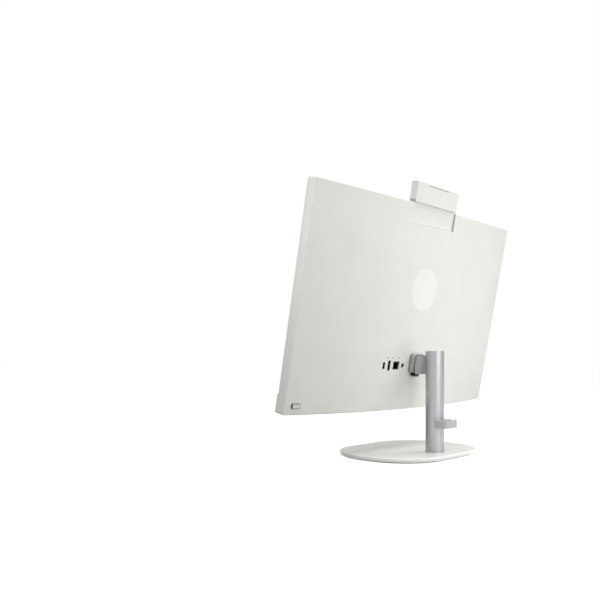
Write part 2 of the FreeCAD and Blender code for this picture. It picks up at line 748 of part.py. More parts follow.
def make_fin_stack():
    """Row of thin fins joined by the strip that carries the pipe."""
    low = fin_low()
    left = BLOWER_X - (FIN_COUNT - 1) * FIN_PITCH / 2
    right = left + (FIN_COUNT - 1) * FIN_PITCH
    fins = [block(left + index * FIN_PITCH - FIN_T / 2, left + index * FIN_PITCH + FIN_T / 2,
                  DECK_Y + BLOWER_LIFT, pipe_y(), low, low + FIN_DEPTH) for index in range(FIN_COUNT)]
    strips = [block(left - FIN_T / 2, right + FIN_T / 2, y, y + FIN_T, low, low + FIN_DEPTH)
              for y in (DECK_Y + BLOWER_LIFT, pipe_y() - FIN_T)]
    return strips[0].fuse(strips[1:] + fins).removeSplitter()


# --- Blower --------------------------------------------------------------------------
def blower_y():
    return DECK_Y + BLOWER_LIFT


def scroll_solid(grow, y0, y1):
    """Housing form: a drum with a square mouth on top."""
    drum = depth_rod(BLOWER_R + BLOWER_GROW + grow, y0, y1, BLOWER_X, BLOWER_Z)
    side = BLOWER_R + BLOWER_GROW + grow
    mouth = block(BLOWER_X - side, BLOWER_X + side, y0, y1, BLOWER_Z, BLOWER_Z + blower_mouth_rise())
    return drum.fuse(mouth).removeSplitter()


def make_blower_housing():
    """Open scroll with a hub boss and feet."""
    y0 = blower_y()
    y1 = y0 + BLOWER_T
    shell = scroll_solid(BLOWER_WALL, y0, y1)
    inside = scroll_solid(0, y0 + BLOWER_WALL, y1)
    through = block(BLOWER_X - BLOWER_R - BLOWER_GROW, BLOWER_X + BLOWER_R + BLOWER_GROW,
                    y0 + BLOWER_WALL, y1, BLOWER_Z + BLOWER_R, BLOWER_Z + blower_mouth_rise())
    boss = depth_rod(SHAFT_R * 2, y0 + BLOWER_WALL, y0 + BLOWER_WALL * 2, BLOWER_X, BLOWER_Z)
    shaft = depth_rod(SHAFT_R, y0 + BLOWER_WALL, shaft_end(), BLOWER_X, BLOWER_Z)
    spread = (BLOWER_R + BLOWER_GROW) * math.sin(math.radians(45))
    feet = [hex_post(STANDOFF_R, DECK_Y, y0, BLOWER_X + x * spread, BLOWER_Z + z * spread)
            for x, z in ((-1, -1), (1, -1), (-1, 1), (1, 1))]
    return shell.cut([inside, through]).fuse([boss, shaft] + feet).removeSplitter()


def make_blower_cover():
    """Flat lid with the round air intake."""
    y0 = blower_y() + BLOWER_T
    lid = scroll_solid(BLOWER_WALL, y0, y0 + BLOWER_WALL)
    return lid.cut(depth_rod(INTAKE_R, y0, y0 + BLOWER_WALL, BLOWER_X, BLOWER_Z))


def blade(y0, y1):
    """One straight blade from the hub out to the rim, leaning back from the radius."""
    lean = math.radians(BLADE_LEAN)
    reach = math.sqrt(IMPELLER_R ** 2 - (HUB_R * math.sin(lean)) ** 2) - HUB_R * math.cos(lean) - BLADE_T
    strip = block(HUB_R - BLADE_T, HUB_R + reach, y0, y1, -BLADE_T / 2, BLADE_T / 2)
    strip.rotate(FreeCAD.Vector(HUB_R, y0, 0), Y_AXIS, BLADE_LEAN)
    return strip


def shaft_end():
    """Rear end of the blower's shaft, inside the closed hub."""
    return blower_y() + BLOWER_T - BLOWER_WALL * 3


def make_blower_impeller():
    """Cup hub, carrier disc and a ring of swept blades, running on the shaft."""
    y0 = blower_y() + BLOWER_WALL * 2 + BLADE_END_GAP
    y1 = blower_y() + BLOWER_T - BLADE_END_GAP
    hub = Part.makeCylinder(HUB_R, y1 - y0, FreeCAD.Vector(0, y0, 0), Y_AXIS)
    disc = Part.makeCylinder(IMPELLER_R - BLADE_T, BLADE_T, FreeCAD.Vector(0, y0, 0), Y_AXIS)
    one = blade(y0, y1)
    blades = []
    for index in range(BLADES):
        turned = one.copy()
        turned.rotate(FreeCAD.Vector(0, 0, 0), Y_AXIS, 360 * index / BLADES)
        blades.append(turned)
    rotor = disc.fuse([hub] + blades)
    bore_r = SHAFT_R + SLIDE_GAP
    bore = Part.makeCylinder(bore_r, shaft_end() + SLIDE_GAP - y0, FreeCAD.Vector(0, y0, 0), Y_AXIS)
    rotor = rotor.cut(bore).removeSplitter()
    rotor.translate(FreeCAD.Vector(BLOWER_X, 0, BLOWER_Z))
    return rotor


# --- Cards on the board --------------------------------------------------------------
def make_memory_modules():
    """Two modules with their chips, lying above their sockets."""
    y0 = BOARD_BACK + SOCKET_T
    modules = []
    for z in MEMORY_Z:
        card = centred(MEMORY_W, y0, y0 + MEMORY_T, MEMORY_H, MEMORY_X, z)
        chips = []
        for index in range(CHIPS):
            x = MEMORY_X + (index - (CHIPS - 1) / 2) * MEMORY_W / CHIPS
            chips.append(centred(CHIP_W, y0 + MEMORY_T, y0 + MEMORY_T + CHIP_T, CHIP_H, x, z))
        modules.append(card.fuse(chips).removeSplitter())
    return Part.makeCompound(modules)


def make_memory_sockets():
    """Socket bars that hold each module at its lower edge and prop its upper edge."""
    bars = []
    for z in MEMORY_Z:
        low = z - MEMORY_H / 2
        bar = block(MEMORY_X - MEMORY_W / 2, MEMORY_X + MEMORY_W / 2, BOARD_BACK, BOARD_BACK + SOCKET_T,
                    low, low + SOCKET_H)
        arms = [block(x, x + SOCKET_T / 2, BOARD_BACK, BOARD_BACK + SOCKET_T, low + SOCKET_H, low + MEMORY_H)
                for x in (MEMORY_X - MEMORY_W / 2, MEMORY_X + MEMORY_W / 2 - SOCKET_T / 2)]
        bars.append(bar.fuse(arms).removeSplitter())
    return Part.makeCompound(bars)


def card_with_socket(x0, length):
    """A card plugged in a low socket at its right end, its left end on a post."""
    low = M2_Z - M2_W / 2
    y0 = BOARD_BACK + M2_RISE
    card = block(x0, x0 + length, y0, y0 + M2_T, low, low + M2_W)
    socket = block(x0 + length - M2_SOCKET_W, x0 + length, BOARD_BACK, y0, low, low + M2_W)
    foot = depth_rod(STANDOFF_R, BOARD_BACK, y0, x0 + STANDOFF_R, M2_Z)
    chip = block(x0 + length / 3, x0 + length / 3 + CHIP_W, y0 + M2_T, y0 + M2_T + CHIP_T, low + M2_GAP,
                 low + M2_W - M2_GAP)
    return card.fuse([socket, foot, chip]).removeSplitter()


def make_solid_state_drive():
    return card_with_socket(M2_X, SSD_L)


def make_wireless_card():
    return card_with_socket(M2_X + SSD_L + M2_GAP, WIFI_L)


def make_coin_cell():
    return depth_rod(CELL_R, BOARD_BACK, BOARD_BACK + CELL_T, 0, CELL_Z)


# --- Ports ---------------------------------------------------------------------------
def connector(x, size):
    """Metal shell with a hollow mouth and a contact tongue."""
    outer = rounded(centred(size[0], BOARD_BACK, PORT_BACK, size[1], x, PORT_Z), Y_AXIS, PORT_WALL)
    mouth = centred(size[0] - 2 * PORT_WALL, PORT_BACK - MOUTH_DEPTH, PORT_BACK,
                    size[1] - 2 * PORT_WALL, x, PORT_Z)
    tongue = centred(CONTACT_T, PORT_BACK - MOUTH_DEPTH, PORT_BACK - PORT_WALL,
                     size[1] - 2 * TONGUE_SIDE, x, PORT_Z)
    return outer.cut(mouth).fuse(tongue).removeSplitter()


def make_hdmi_port():
    return connector(HDMI_X, HDMI_SIZE)


def make_usb_c_port():
    return connector(USB_C_X, USB_C_SIZE)


def make_usb_a_ports():
    return Part.makeCompound([connector(x, USB_A_SIZE) for x in USB_A_X])


def make_ethernet_port():
    """Jack with a stepped mouth for the plug and its tab."""
    body = centred(ETHERNET_SIZE[0], BOARD_BACK, PORT_BACK, ETHERNET_SIZE[1], ETHERNET_X, PORT_Z)
    plug = centred(PLUG_SIZE[0], PORT_BACK - PLUG_DEPTH, PORT_BACK, PLUG_SIZE[1], ETHERNET_X, PORT_Z)
    key = centred(PLUG_KEY[0], PORT_BACK - PLUG_DEPTH, PORT_BACK, PLUG_KEY[1], ETHERNET_X,
                  PORT_Z - PLUG_SIZE[1] / 2)
    return body.cut([plug, key]).removeSplitter()


def make_dc_inlet():
    """Round power jack with its centre pin."""
    barrel = depth_rod(DC_R, BOARD_BACK, PORT_BACK, DC_X, PORT_Z)
    bore = depth_rod(DC_BORE_R, PORT_BACK - MOUTH_DEPTH, PORT_BACK, DC_X, PORT_Z)
    pin = depth_rod(DC_PIN_R, PORT_BACK - MOUTH_DEPTH, PORT_BACK - PORT_WALL, DC_X, PORT_Z)
    return barrel.cut(bore).fuse(pin).removeSplitter()


def make_audio_jack():
    barrel = depth_rod(AUDIO_R, BOARD_BACK, PORT_BACK, AUDIO_X, PORT_Z)
    return barrel.cut(depth_rod(AUDIO_BORE_R, PORT_BACK - MOUTH_DEPTH, PORT_BACK, AUDIO_X, PORT_Z))


# --- Sound, antennas, power switch ---------------------------------------------------
def speaker(side):
    """Sealed box with its driver facing down to the grille."""
    z0 = HEAD_LOW + WALL + DRIVER_T + SLIDE_GAP
    box = centred(SPEAKER_W, DECK_Y, DECK_Y + SPEAKER_T, SPEAKER_H, side * SPEAKER_X, z0 + SPEAKER_H / 2)
    box = rounded(box, Y_AXIS, CORNER_ROUND)
    cone = block(side * SPEAKER_X - DRIVER_W / 2, side * SPEAKER_X + DRIVER_W / 2,
                 DECK_Y + DRIVER_T, DECK_Y + SPEAKER_T - DRIVER_T, z0 - DRIVER_T, z0)
    return box.fuse(cone).removeSplitter()


def make_speaker_left():
    return speaker(-1)


def make_speaker_right():
    return speaker(1)


def make_antennas():
    """Two thin boards stood on the chassis near the top corners."""
    z = HEAD_TOP - CHASSIS_MARGIN - ANTENNA_H
    boards = [centred(ANTENNA_W, DECK_Y, DECK_Y + ANTENNA_T, ANTENNA_H, side * ANTENNA_X, z)
              for side in (-1, 1)]
    return Part.makeCompound(boards)


def button_face_y():
    """The key's flat face."""
    return back_at(BUTTON_X, BUTTON_Z) + BUTTON_PROUD


def button_flange_y():
    """Back of the key's flange, just under the cover's wall at its lowest end."""
    return back_at(BUTTON_X + BUTTON_W / 2 + BUTTON_FLANGE_W, BUTTON_Z) - WALL - SLIDE_GAP * 2


def make_power_button():
    """Flat key with a flange under the cover and a stem to the switch."""
    key = centred(BUTTON_W, button_flange_y(), button_face_y(), BUTTON_H, BUTTON_X, BUTTON_Z)
    key = rounded(key, Y_AXIS, BUTTON_H / 4)
    flange = centred(BUTTON_W + 2 * BUTTON_FLANGE_W, button_flange_y() - BUTTON_FLANGE_T, button_flange_y(),
                     BUTTON_H + 2 * BUTTON_FLANGE_W, BUTTON_X, BUTTON_Z)
    return key.fuse(flange).removeSplitter()


def make_power_board():
    """Small board with the tact switch under the key."""
    top = button_flange_y() - BUTTON_FLANGE_T - BUTTON_TRAVEL - SLIDE_GAP
    board = centred(POWER_BOARD_W, DECK_Y, DECK_Y + CHASSIS_T, POWER_BOARD_H, BUTTON_X, BUTTON_Z)
    switch = centred(SWITCH_W, DECK_Y + CHASSIS_T, top, SWITCH_W, BUTTON_X, BUTTON_Z)
    return board.fuse(switch).removeSplitter()


# --- Pop-up camera -------------------------------------------------------------------
def camera_form(inset):
    """Block and tongue in the lowered place, set in by inset; the block's back follows the bow."""
    half = CAM_W / 2 - inset
    block_low = CAM_LOW - CAM_TRAVEL + inset
    high = CAM_TOP - CAM_TRAVEL - inset
    low = TONGUE_LOW - CAM_TRAVEL + inset
    bow = bowed(inset, CAM_FRONT, block_low, high)
    head = bow.common(block(-half, half, CAM_FRONT, BULGE_BOTTOM, block_low, high))
    tongue = block(-half, half, CAM_FRONT, tongue_back() - inset, low, block_low + inset)
    return head.fuse(tongue).removeSplitter()


def make_camera_rear_shell():
    """Rear half of the carriage: block and tongue in one hollow moulding, with the grip slit."""
    top = CAM_TOP - CAM_TRAVEL
    low = TONGUE_LOW - CAM_TRAVEL
    half = CAM_W / 2
    form = camera_form(0).cut(camera_form(CAM_SHELL))
    form = form.cut(block(-half, half, CAM_FRONT, CAM_FRONT + CAM_SHELL, low, top))
    slit_z = top - GRIP_DROP
    bar = centred(GRIP_W + 2 * CAM_SHELL, CAM_FRONT + CAM_SHELL, bulge(slit_z) - GRIP_DEPTH,
                  GRIP_H + 2 * CAM_SHELL, 0, slit_z)
    slit = centred(GRIP_W, bulge(slit_z) - GRIP_DEPTH, BULGE_BOTTOM, GRIP_H, 0, slit_z)
    ribs = [block(x - RIB_T / 2, x + RIB_T / 2, CAM_FRONT + CAM_SHELL, tongue_back() - CAM_SHELL,
                  low + CAM_SHELL, CAM_LOW - CAM_TRAVEL) for x in (-half / 2, half / 2)]
    form = form.fuse([bar] + ribs).cut(slit).removeSplitter()
    form.translate(FreeCAD.Vector(0, 0, CAM_TRAVEL))
    return form


def lens_z():
    return CAM_TOP - LENS_DROP


def make_camera_front_shell():
    """Front half of the carriage with the recess for the window."""
    half = CAM_W / 2
    plate = block(-half, half, CAM_FRONT, CAM_FRONT + CAM_SHELL, TONGUE_LOW, CAM_TOP)
    recess = centred(WINDOW_W + 2 * SEAT_GAP, CAM_FRONT, CAM_FRONT + WINDOW_T,
                     WINDOW_H + 2 * SEAT_GAP, 0, lens_z())
    hole = depth_rod(BARREL_R + SEAT_GAP, CAM_FRONT, CAM_FRONT + CAM_SHELL, 0, lens_z())
    return plate.cut([recess, hole])


def make_camera_window():
    """Dark window with a hole for the lens."""
    sheet = centred(WINDOW_W, CAM_FRONT, CAM_FRONT + WINDOW_T, WINDOW_H, 0, lens_z())
    return rounded(sheet, Y_AXIS, WINDOW_H / 4).cut(
        depth_rod(BARREL_R - LENS_T + SEAT_GAP, CAM_FRONT, CAM_FRONT + WINDOW_T, 0, lens_z()))


def make_lens_barrel():
    """Threaded barrel behind the window, hollow at its front for the glass."""
    y0 = CAM_FRONT + WINDOW_T
    barrel = depth_rod(BARREL_R, y0, y0 + BARREL_L, 0, lens_z())
    return barrel.cut(depth_rod(LENS_R + SEAT_GAP, y0, y0 + LENS_T * 2, 0, lens_z()))


def make_camera_lens():
    """Small domed lens in the barrel's mouth."""
    y0 = CAM_FRONT + WINDOW_T
    radius = LENS_R * 2
    ball = Part.makeSphere(radius, FreeCAD.Vector(0, y0 + radius, lens_z()))
    return ball.common(depth_rod(LENS_R, y0, y0 + LENS_T * 2, 0, lens_z()))


def make_camera_board():
    y0 = CAM_FRONT + WINDOW_T + BARREL_L
    return centred(CAM_BOARD_W, y0, y0 + CAM_BOARD_T, CAM_BOARD_H, 0, lens_z())


def make_camera_rails():
    """Two channels that guide the tongue's edges, stood on the chassis."""
    rails = []
    low = TONGUE_LOW - CAM_TRAVEL
    high = HEAD_TOP - CHASSIS_MARGIN - CHASSIS_T - SLIDE_GAP
    for side in (-1, 1):
        near = CAM_W / 2 + SLIDE_GAP
        cheek = block(near, near + RAIL_T, DECK_Y, tongue_back(), low, high)
        lip = block(near - RAIL_LIP, near, CAM_FRONT - SLIDE_GAP - RAIL_T / 2, CAM_FRONT - SLIDE_GAP,
                    low, high)
        rail = cheek.fuse(lip).removeSplitter()
        if side < 0:
            rail = rail.mirror(FreeCAD.Vector(0, 0, 0), X_AXIS)
        rails.append(rail)
    return Part.makeCompound(rails)


def latch_rod_y():
    return (CAM_FRONT + tongue_back()) / 2


def latch_top():
    return TONGUE_LOW - CAM_TRAVEL - SLIDE_GAP * 3


def make_push_latch_body():
    """Push-push catch with the lift spring inside, screwed to the chassis."""
    top = latch_top()
    body = block(-LATCH_W / 2, LATCH_W / 2, DECK_Y, tongue_back(), top - LATCH_BODY_L, top)
    bore_low = top - LATCH_ROD_IN - CAM_TRAVEL - SLIDE_GAP * 2
    return body.cut(upright_rod(LATCH_ROD_R + SLIDE_GAP, bore_low, top, 0, latch_rod_y()))


def make_push_latch_rod():
    """Rod from the carriage down into the catch."""
    return upright_rod(LATCH_ROD_R, latch_top() - LATCH_ROD_IN, TONGUE_LOW, 0, latch_rod_y())


# --- Hinge on the head ---------------------------------------------------------------
def mast_screw_places():
    """Four screws that hold the mast's flange to the chassis."""
    half = FLANGE_W / 2 - MAST_SCREW_R * 2
    return [(x, HINGE_Z + z) for x in (-half, half) for z in (-half, half)]


def make_hinge_bracket():
    """Cast plate with its tongue behind, and the box mast that runs in to the chassis."""
    y0 = hinge_plate_y()
    y1 = y0 + HINGE_PLATE_T
    pin_y = hinge_pin_y()
    plate = rounded(centred(HINGE_PLATE_W, y0, y1, HINGE_PLATE_H, 0, HINGE_Z), Y_AXIS, HINGE_PLATE_ROUND)
    tongue = centred(TONGUE_W, y1, pin_y, 2 * TONGUE_R, 0, HINGE_Z)
    nose = cross_rod(TONGUE_R, -TONGUE_W / 2, TONGUE_W / 2, pin_y, HINGE_Z)
    mast = centred(MAST_W, DECK_Y + FLANGE_T, y0, MAST_W, 0, HINGE_Z)
    flange = centred(FLANGE_W, DECK_Y, DECK_Y + FLANGE_T, FLANGE_W, 0, HINGE_Z)
    form = plate.fuse([tongue, nose, mast, flange]).removeSplitter()
    hollow = centred(MAST_W - 2 * MAST_WALL, DECK_Y, y0, MAST_W - 2 * MAST_WALL, 0, HINGE_Z)
    bore = cross_rod(PIN_R + RUN_GAP, -TONGUE_W, TONGUE_W, pin_y, HINGE_Z)
    pocket_t = RELEASE_STEM_T + 2 * SLIDE_GAP
    pocket = centred(RELEASE_STEM_W + 2 * SLIDE_GAP, release_y() - pocket_t / 2, release_y() + pocket_t / 2,
                     RELEASE_STEM_L, 0, plate_low() + RELEASE_STEM_L / 2)
    holes = [depth_rod(MAST_SCREW_R + SEAT_GAP, DECK_Y, DECK_Y + FLANGE_T, x, z)
             for x, z in mast_screw_places()]
    return form.cut([hollow, bore, pocket] + holes)


def plate_low():
    return HINGE_Z - HINGE_PLATE_H / 2


def release_y():
    """Middle of the release key's stem, front to back, inside the plate."""
    return hinge_plate_y() + HINGE_PLATE_T / 2


def release_top():
    """Top of the release key, its travel below the plate."""
    return plate_low() - RELEASE_TRAVEL - SLIDE_GAP


def make_mast_screws():
    one = screw(MAST_SCREW_R, FLANGE_T + CHASSIS_T, SCREW_HEAD_R, SCREW_HEAD_T)
    return Part.makeCompound([aimed(one, FreeCAD.Vector(x, DECK_Y + FLANGE_T, z), Y_AXIS)
                              for x, z in mast_screw_places()])


def make_release_latch():
    """Key under the plate that frees the head from the stand when it is pushed up."""
    top = release_top()
    front = bulge(top - RELEASE_H) + SLIDE_GAP
    key = block(-RELEASE_W / 2, RELEASE_W / 2, front, front + RELEASE_DEPTH, top - RELEASE_H, top)
    key = rounded(key, Y_AXIS, RELEASE_ROUND)
    stem_top = plate_low() + RELEASE_STEM_L - RELEASE_TRAVEL - SLIDE_GAP
    stem = block(-RELEASE_STEM_W / 2, RELEASE_STEM_W / 2, release_y() - RELEASE_STEM_T / 2,
                 release_y() + RELEASE_STEM_T / 2, top, stem_top)
    return key.fuse(stem).removeSplitter()


# --- Stand ---------------------------------------------------------------------------
def arm_profile():
    """Side of the arm: a nose about the pin, its faces set to the two tilt limits."""
    nose = PIN_OFFSET - 2 * SLIDE_GAP
    half = ARM_H / 2
    back = math.radians(TILT_BACK)
    forward = math.radians(TILT_FORWARD)
    upper = FreeCAD.Vector(0, -nose * math.cos(back), nose * math.sin(back))
    lower = FreeCAD.Vector(0, -nose * math.cos(forward), -nose * math.sin(forward))
    tip = FreeCAD.Vector(0, -nose, 0)
    top_front = FreeCAD.Vector(0, upper.y + (half - upper.z) * math.tan(back), half)
    low_front = FreeCAD.Vector(0, lower.y + (half + lower.z) * math.tan(forward), -half)
    top_back = FreeCAD.Vector(0, ARM_REACH, half)
    low_back = FreeCAD.Vector(0, ARM_REACH, -half)
    outline = Part.Wire([
        Part.Arc(lower, tip, upper).toShape(), Part.makeLine(upper, top_front),
        Part.makeLine(top_front, top_back), Part.makeLine(top_back, low_back),
        Part.makeLine(low_back, low_front), Part.makeLine(low_front, lower),
    ])
    return Part.Face(outline)


def make_neck_arm():
    """Cast arm: a hollow nose round the hinge, saddled on the post, with a tang inside it."""
    form = arm_profile().extrude(FreeCAD.Vector(ARM_W, 0, 0))
    form.translate(FreeCAD.Vector(-ARM_W / 2, PIN_Y, PIN_Z))
    form = form.cut(upright_rod(POST_R + SEAT_GAP, PIN_Z - ARM_H, PIN_Z + ARM_H, 0, POST_Y))
    slot_w = TONGUE_W + 2 * (WASHER_T + SEAT_GAP)
    slot = block(-slot_w / 2, slot_w / 2, PIN_Y - PIN_OFFSET * 2, PIN_Y, PIN_Z - ARM_H / 2 + ARM_WEB,
                 PIN_Z + ARM_H / 2 - ARM_WEB)
    round_end = cross_rod(TONGUE_R + 2 * SLIDE_GAP, -slot_w / 2, slot_w / 2, PIN_Y, PIN_Z)
    bore = cross_rod(PIN_R, -ARM_W, ARM_W, PIN_Y, PIN_Z)
    form = form.cut([slot, round_end, bore])
    tang = block(-ARM_TANG_W / 2, ARM_TANG_W / 2, POST_Y - POST_R - SEAT_GAP, POST_Y + ARM_TANG_IN,
                 PIN_Z - ARM_TANG_H / 2, PIN_Z + ARM_TANG_H / 2)
    holes = [upright_rod(CORE_SCREW_R + SEAT_GAP, PIN_Z - ARM_TANG_H, PIN_Z + ARM_TANG_H, 0, y)
             for y in core_screw_places()]
    return form.fuse(tang.cut(holes)).removeSplitter()


def core_screw_places():
    """The two upright screws through the tang, front and back of its middle."""
    middle = POST_Y - CORE_SCREW_FORWARD
    return [middle - CORE_SCREW_PITCH / 2, middle + CORE_SCREW_PITCH / 2]


def make_hinge_pin():
    return cross_rod(PIN_R, -ARM_W / 2 + SEAT_GAP, ARM_W / 2 - SEAT_GAP, PIN_Y, PIN_Z)


def make_friction_washers():
    """Spring washers either side of the tongue that hold the head where it is put."""
    washers = []
    for side in (-1, 1):
        near = TONGUE_W / 2 + SEAT_GAP / 2
        x0 = min(side * near, side * (near + WASHER_T))
        ring = cross_rod(WASHER_R, x0, x0 + WASHER_T, PIN_Y, PIN_Z)
        washers.append(ring.cut(cross_rod(PIN_R + RUN_GAP, x0, x0 + WASHER_T, PIN_Y, PIN_Z)))
    return Part.makeCompound(washers)


def make_post_tube():
    """Aluminium tube with the window for the arm's tang and the clip's peg hole."""
    top = POST_TOP - CAP_T
    tube = upright_rod(POST_R, BASE_TOP, top, 0, POST_Y)
    tube = tube.cut(upright_rod(POST_BORE, BASE_TOP, top, 0, POST_Y))
    window = block(-ARM_TANG_W / 2 - SEAT_GAP, ARM_TANG_W / 2 + SEAT_GAP, POST_Y - POST_R * 2, POST_Y,
                   PIN_Z - ARM_TANG_H / 2 - SEAT_GAP, PIN_Z + ARM_TANG_H / 2 + SEAT_GAP)
    peg = depth_rod(CLIP_PEG_R + SEAT_GAP, POST_Y, POST_Y + POST_R * 2, 0, CLIP_LOW + CLIP_H / 2)
    return tube.cut([window, peg])


def make_post_cap():
    top = upright_rod(POST_R, POST_TOP - CAP_T, POST_TOP, 0, POST_Y)
    plug = upright_rod(POST_BORE - SEAT_GAP, POST_TOP - CAP_T - CAP_PLUG, POST_TOP - CAP_T, 0, POST_Y)
    return top.fuse(plug).removeSplitter()


def core_top():
    return POST_TOP - CAP_T - CAP_PLUG - CORE_SCREW_HEAD_T - SLIDE_GAP


def make_post_core():
    """Plug in the top of the tube, slotted for the arm's tang."""
    low = PIN_Z - ARM_TANG_H / 2 - CORE_BELOW
    core = upright_rod(POST_BORE - SEAT_GAP, low, core_top(), 0, POST_Y)
    slot = centred(ARM_TANG_W + 2 * SEAT_GAP, POST_Y - POST_R, POST_Y + ARM_TANG_IN + SEAT_GAP,
                   ARM_TANG_H + 2 * SEAT_GAP, 0, PIN_Z)
    holes = [upright_rod(CORE_SCREW_R + SEAT_GAP, PIN_Z, core_top(), 0, y) for y in core_screw_places()]
    return core.cut([slot] + holes)


def make_core_screws():
    length = core_top() - PIN_Z
    one = screw(CORE_SCREW_R, length, CORE_SCREW_HEAD_R, CORE_SCREW_HEAD_T)
    return Part.makeCompound([aimed(one, FreeCAD.Vector(0, y, core_top()), Z_AXIS)
                              for y in core_screw_places()])


def make_post_foot():
    """Plug in the bottom of the tube that takes the base screws."""
    foot = upright_rod(POST_BORE - SEAT_GAP, BASE_TOP, BASE_TOP + FOOT_PLUG_H, 0, POST_Y)
    holes = [upright_rod(BASE_SCREW_R + SEAT_GAP, BASE_TOP, BASE_TOP + BASE_SCREW_L, x, y)
             for x, y in base_screw_places()]
    return foot.cut(holes)


def base_screw_places():
    """Screws evenly round the post's axis."""
    places = []
    for index in range(BASE_SCREWS):
        angle = 2 * math.pi * index / BASE_SCREWS
        places.append((BASE_SCREW_CIRCLE * math.sin(angle), POST_Y + BASE_SCREW_CIRCLE * math.cos(angle)))
    return places


def base_outline(inset, z0, z1):
    """Slab between two heights with the base's rounded outline, set in by inset."""
    half_w = BASE_W / 2 - inset
    half_d = BASE_D / 2 - inset
    slab = block(-half_w, half_w, -half_d, half_d, z0, z1)
    return rounded(slab, Z_AXIS, BASE_ROUND - inset)


def make_base_plate():
    """Painted steel plate with a bevelled top edge and sunk screw seats."""
    plate = base_outline(0, PAD_T, BASE_TOP)
    upper = [edge for edge in plate.Edges if edge.BoundBox.ZMin > BASE_TOP - BASE_EDGE]
    plate = plate.makeChamfer(BASE_EDGE, upper)
    seats = []
    for x, y in base_screw_places():
        seats.append(upright_rod(BASE_SCREW_HEAD_R + SEAT_GAP, PAD_T, PAD_T + BASE_SCREW_HEAD_T, x, y))
        seats.append(upright_rod(BASE_SCREW_R + SEAT_GAP, PAD_T, BASE_TOP, x, y))
    return plate.cut(seats)


def make_base_screws():
    length = BASE_T - BASE_SCREW_HEAD_T + BASE_SCREW_L - BASE_SCREW_END
    one = screw(BASE_SCREW_R, length, BASE_SCREW_HEAD_R, BASE_SCREW_HEAD_T)
    return Part.makeCompound([aimed(one, FreeCAD.Vector(x, y, PAD_T + BASE_SCREW_HEAD_T), Z_AXIS.negative())
                              for x, y in base_screw_places()])


def make_base_pad():
    """Rubber ring under the plate, set in from its edge."""
    return base_outline(PAD_INSET, 0, PAD_T).cut(base_outline(PAD_INSET + PAD_BAND, 0, PAD_T))


def make_cable_clip():
    """Open loop behind the post with cheeks that hug it and a peg through its wall."""
    high = CLIP_LOW + CLIP_H
    outer = block(-CLIP_W / 2, CLIP_W / 2, CLIP_FRONT, CLIP_BACK, CLIP_LOW, high)
    outer = rounded(outer, Z_AXIS, CLIP_ROUND)
    post_back = POST_Y + POST_R
    inner = block(-CLIP_W / 2 + CLIP_WALL, CLIP_W / 2 - CLIP_WALL, post_back + CLIP_WALL,
                  CLIP_BACK - CLIP_WALL, CLIP_LOW, high)
    inner = rounded(inner, Z_AXIS, CLIP_ROUND - CLIP_WALL)
    post = upright_rod(POST_R + SEAT_GAP, CLIP_LOW, high, 0, POST_Y)
    slit_back = CLIP_BACK - CLIP_WALL - CLIP_ROUND
    slit = block(-CLIP_W, 0, slit_back - CLIP_SLIT, slit_back, CLIP_LOW, high)
    peg = depth_rod(CLIP_PEG_R, POST_Y + POST_BORE, post_back + CLIP_WALL / 2, 0, CLIP_LOW + CLIP_H / 2)
    return outer.cut([inner, post, slit]).fuse(peg).removeSplitter()


# --- Assembly ------------------------------------------------------------------------
HEAD_PIECES = {
    "rear_cover": make_rear_cover,
    "badge_disc": make_badge_disc,
    "vent_grilles": make_vent_grilles,
    "front_bezel": make_front_bezel,
    "display_mask": make_display_mask,
    "lcd_panel": make_lcd_panel,
    "light_guide": make_light_guide,
    "backlight_tray": make_backlight_tray,
    "chin_cover": make_chin_cover,
    "chassis_plate": make_chassis_plate,
    "mainboard": make_mainboard,
    "board_screws": make_board_screws,
    "processor": make_processor,
    "cold_plate": make_cold_plate,
    "heat_pipe": make_heat_pipe,
    "fin_stack": make_fin_stack,
    "blower_housing": make_blower_housing,
    "blower_cover": make_blower_cover,
    "blower_impeller": make_blower_impeller,
    "memory_modules": make_memory_modules,
    "memory_sockets": make_memory_sockets,
    "solid_state_drive": make_solid_state_drive,
    "wireless_card": make_wireless_card,
    "coin_cell": make_coin_cell,
    "hdmi_port": make_hdmi_port,
    "usb_c_port": make_usb_c_port,
    "usb_a_ports": make_usb_a_ports,
    "ethernet_port": make_ethernet_port,
    "dc_inlet": make_dc_inlet,
    "audio_jack": make_audio_jack,
    "speaker_left": make_speaker_left,
    "speaker_right": make_speaker_right,
    "antennas": make_antennas,
    "power_button": make_power_button,
    "power_board": make_power_board,
    "camera_rear_shell": make_camera_rear_shell,
    "camera_front_shell": make_camera_front_shell,
    "camera_window": make_camera_window,
    "lens_barrel": make_lens_barrel,
    "camera_lens": make_camera_lens,
    "camera_board": make_camera_board,
    "camera_rails": make_camera_rails,
    "push_latch_body": make_push_latch_body,
    "push_latch_rod": make_push_latch_rod,
    "hinge_bracket": make_hinge_bracket,
    "mast_screws": make_mast_screws,
    "release_latch": make_release_latch,
}

STAND_PIECES = {
    "neck_arm": make_neck_arm,
    "hinge_pin": make_hinge_pin,
    "friction_washers": make_friction_washers,
    "post_tube": make_post_tube,
    "post_cap": make_post_cap,
    "post_core": make_post_core,
    "core_screws": make_core_screws,
    "post_foot": make_post_foot,
    "base_plate": make_base_plate,
    "base_screws": make_base_screws,
    "base_pad": make_base_pad,
    "cable_clip": make_cable_clip,
}


def main():
    os.makedirs("parts", exist_ok=True)
    for name, build in HEAD_PIECES.items():
        in_head(build()).exportStep(f"parts/{name}.step")
    for name, build in STAND_PIECES.items():
        build().exportStep(f"parts/{name}.step")


main()
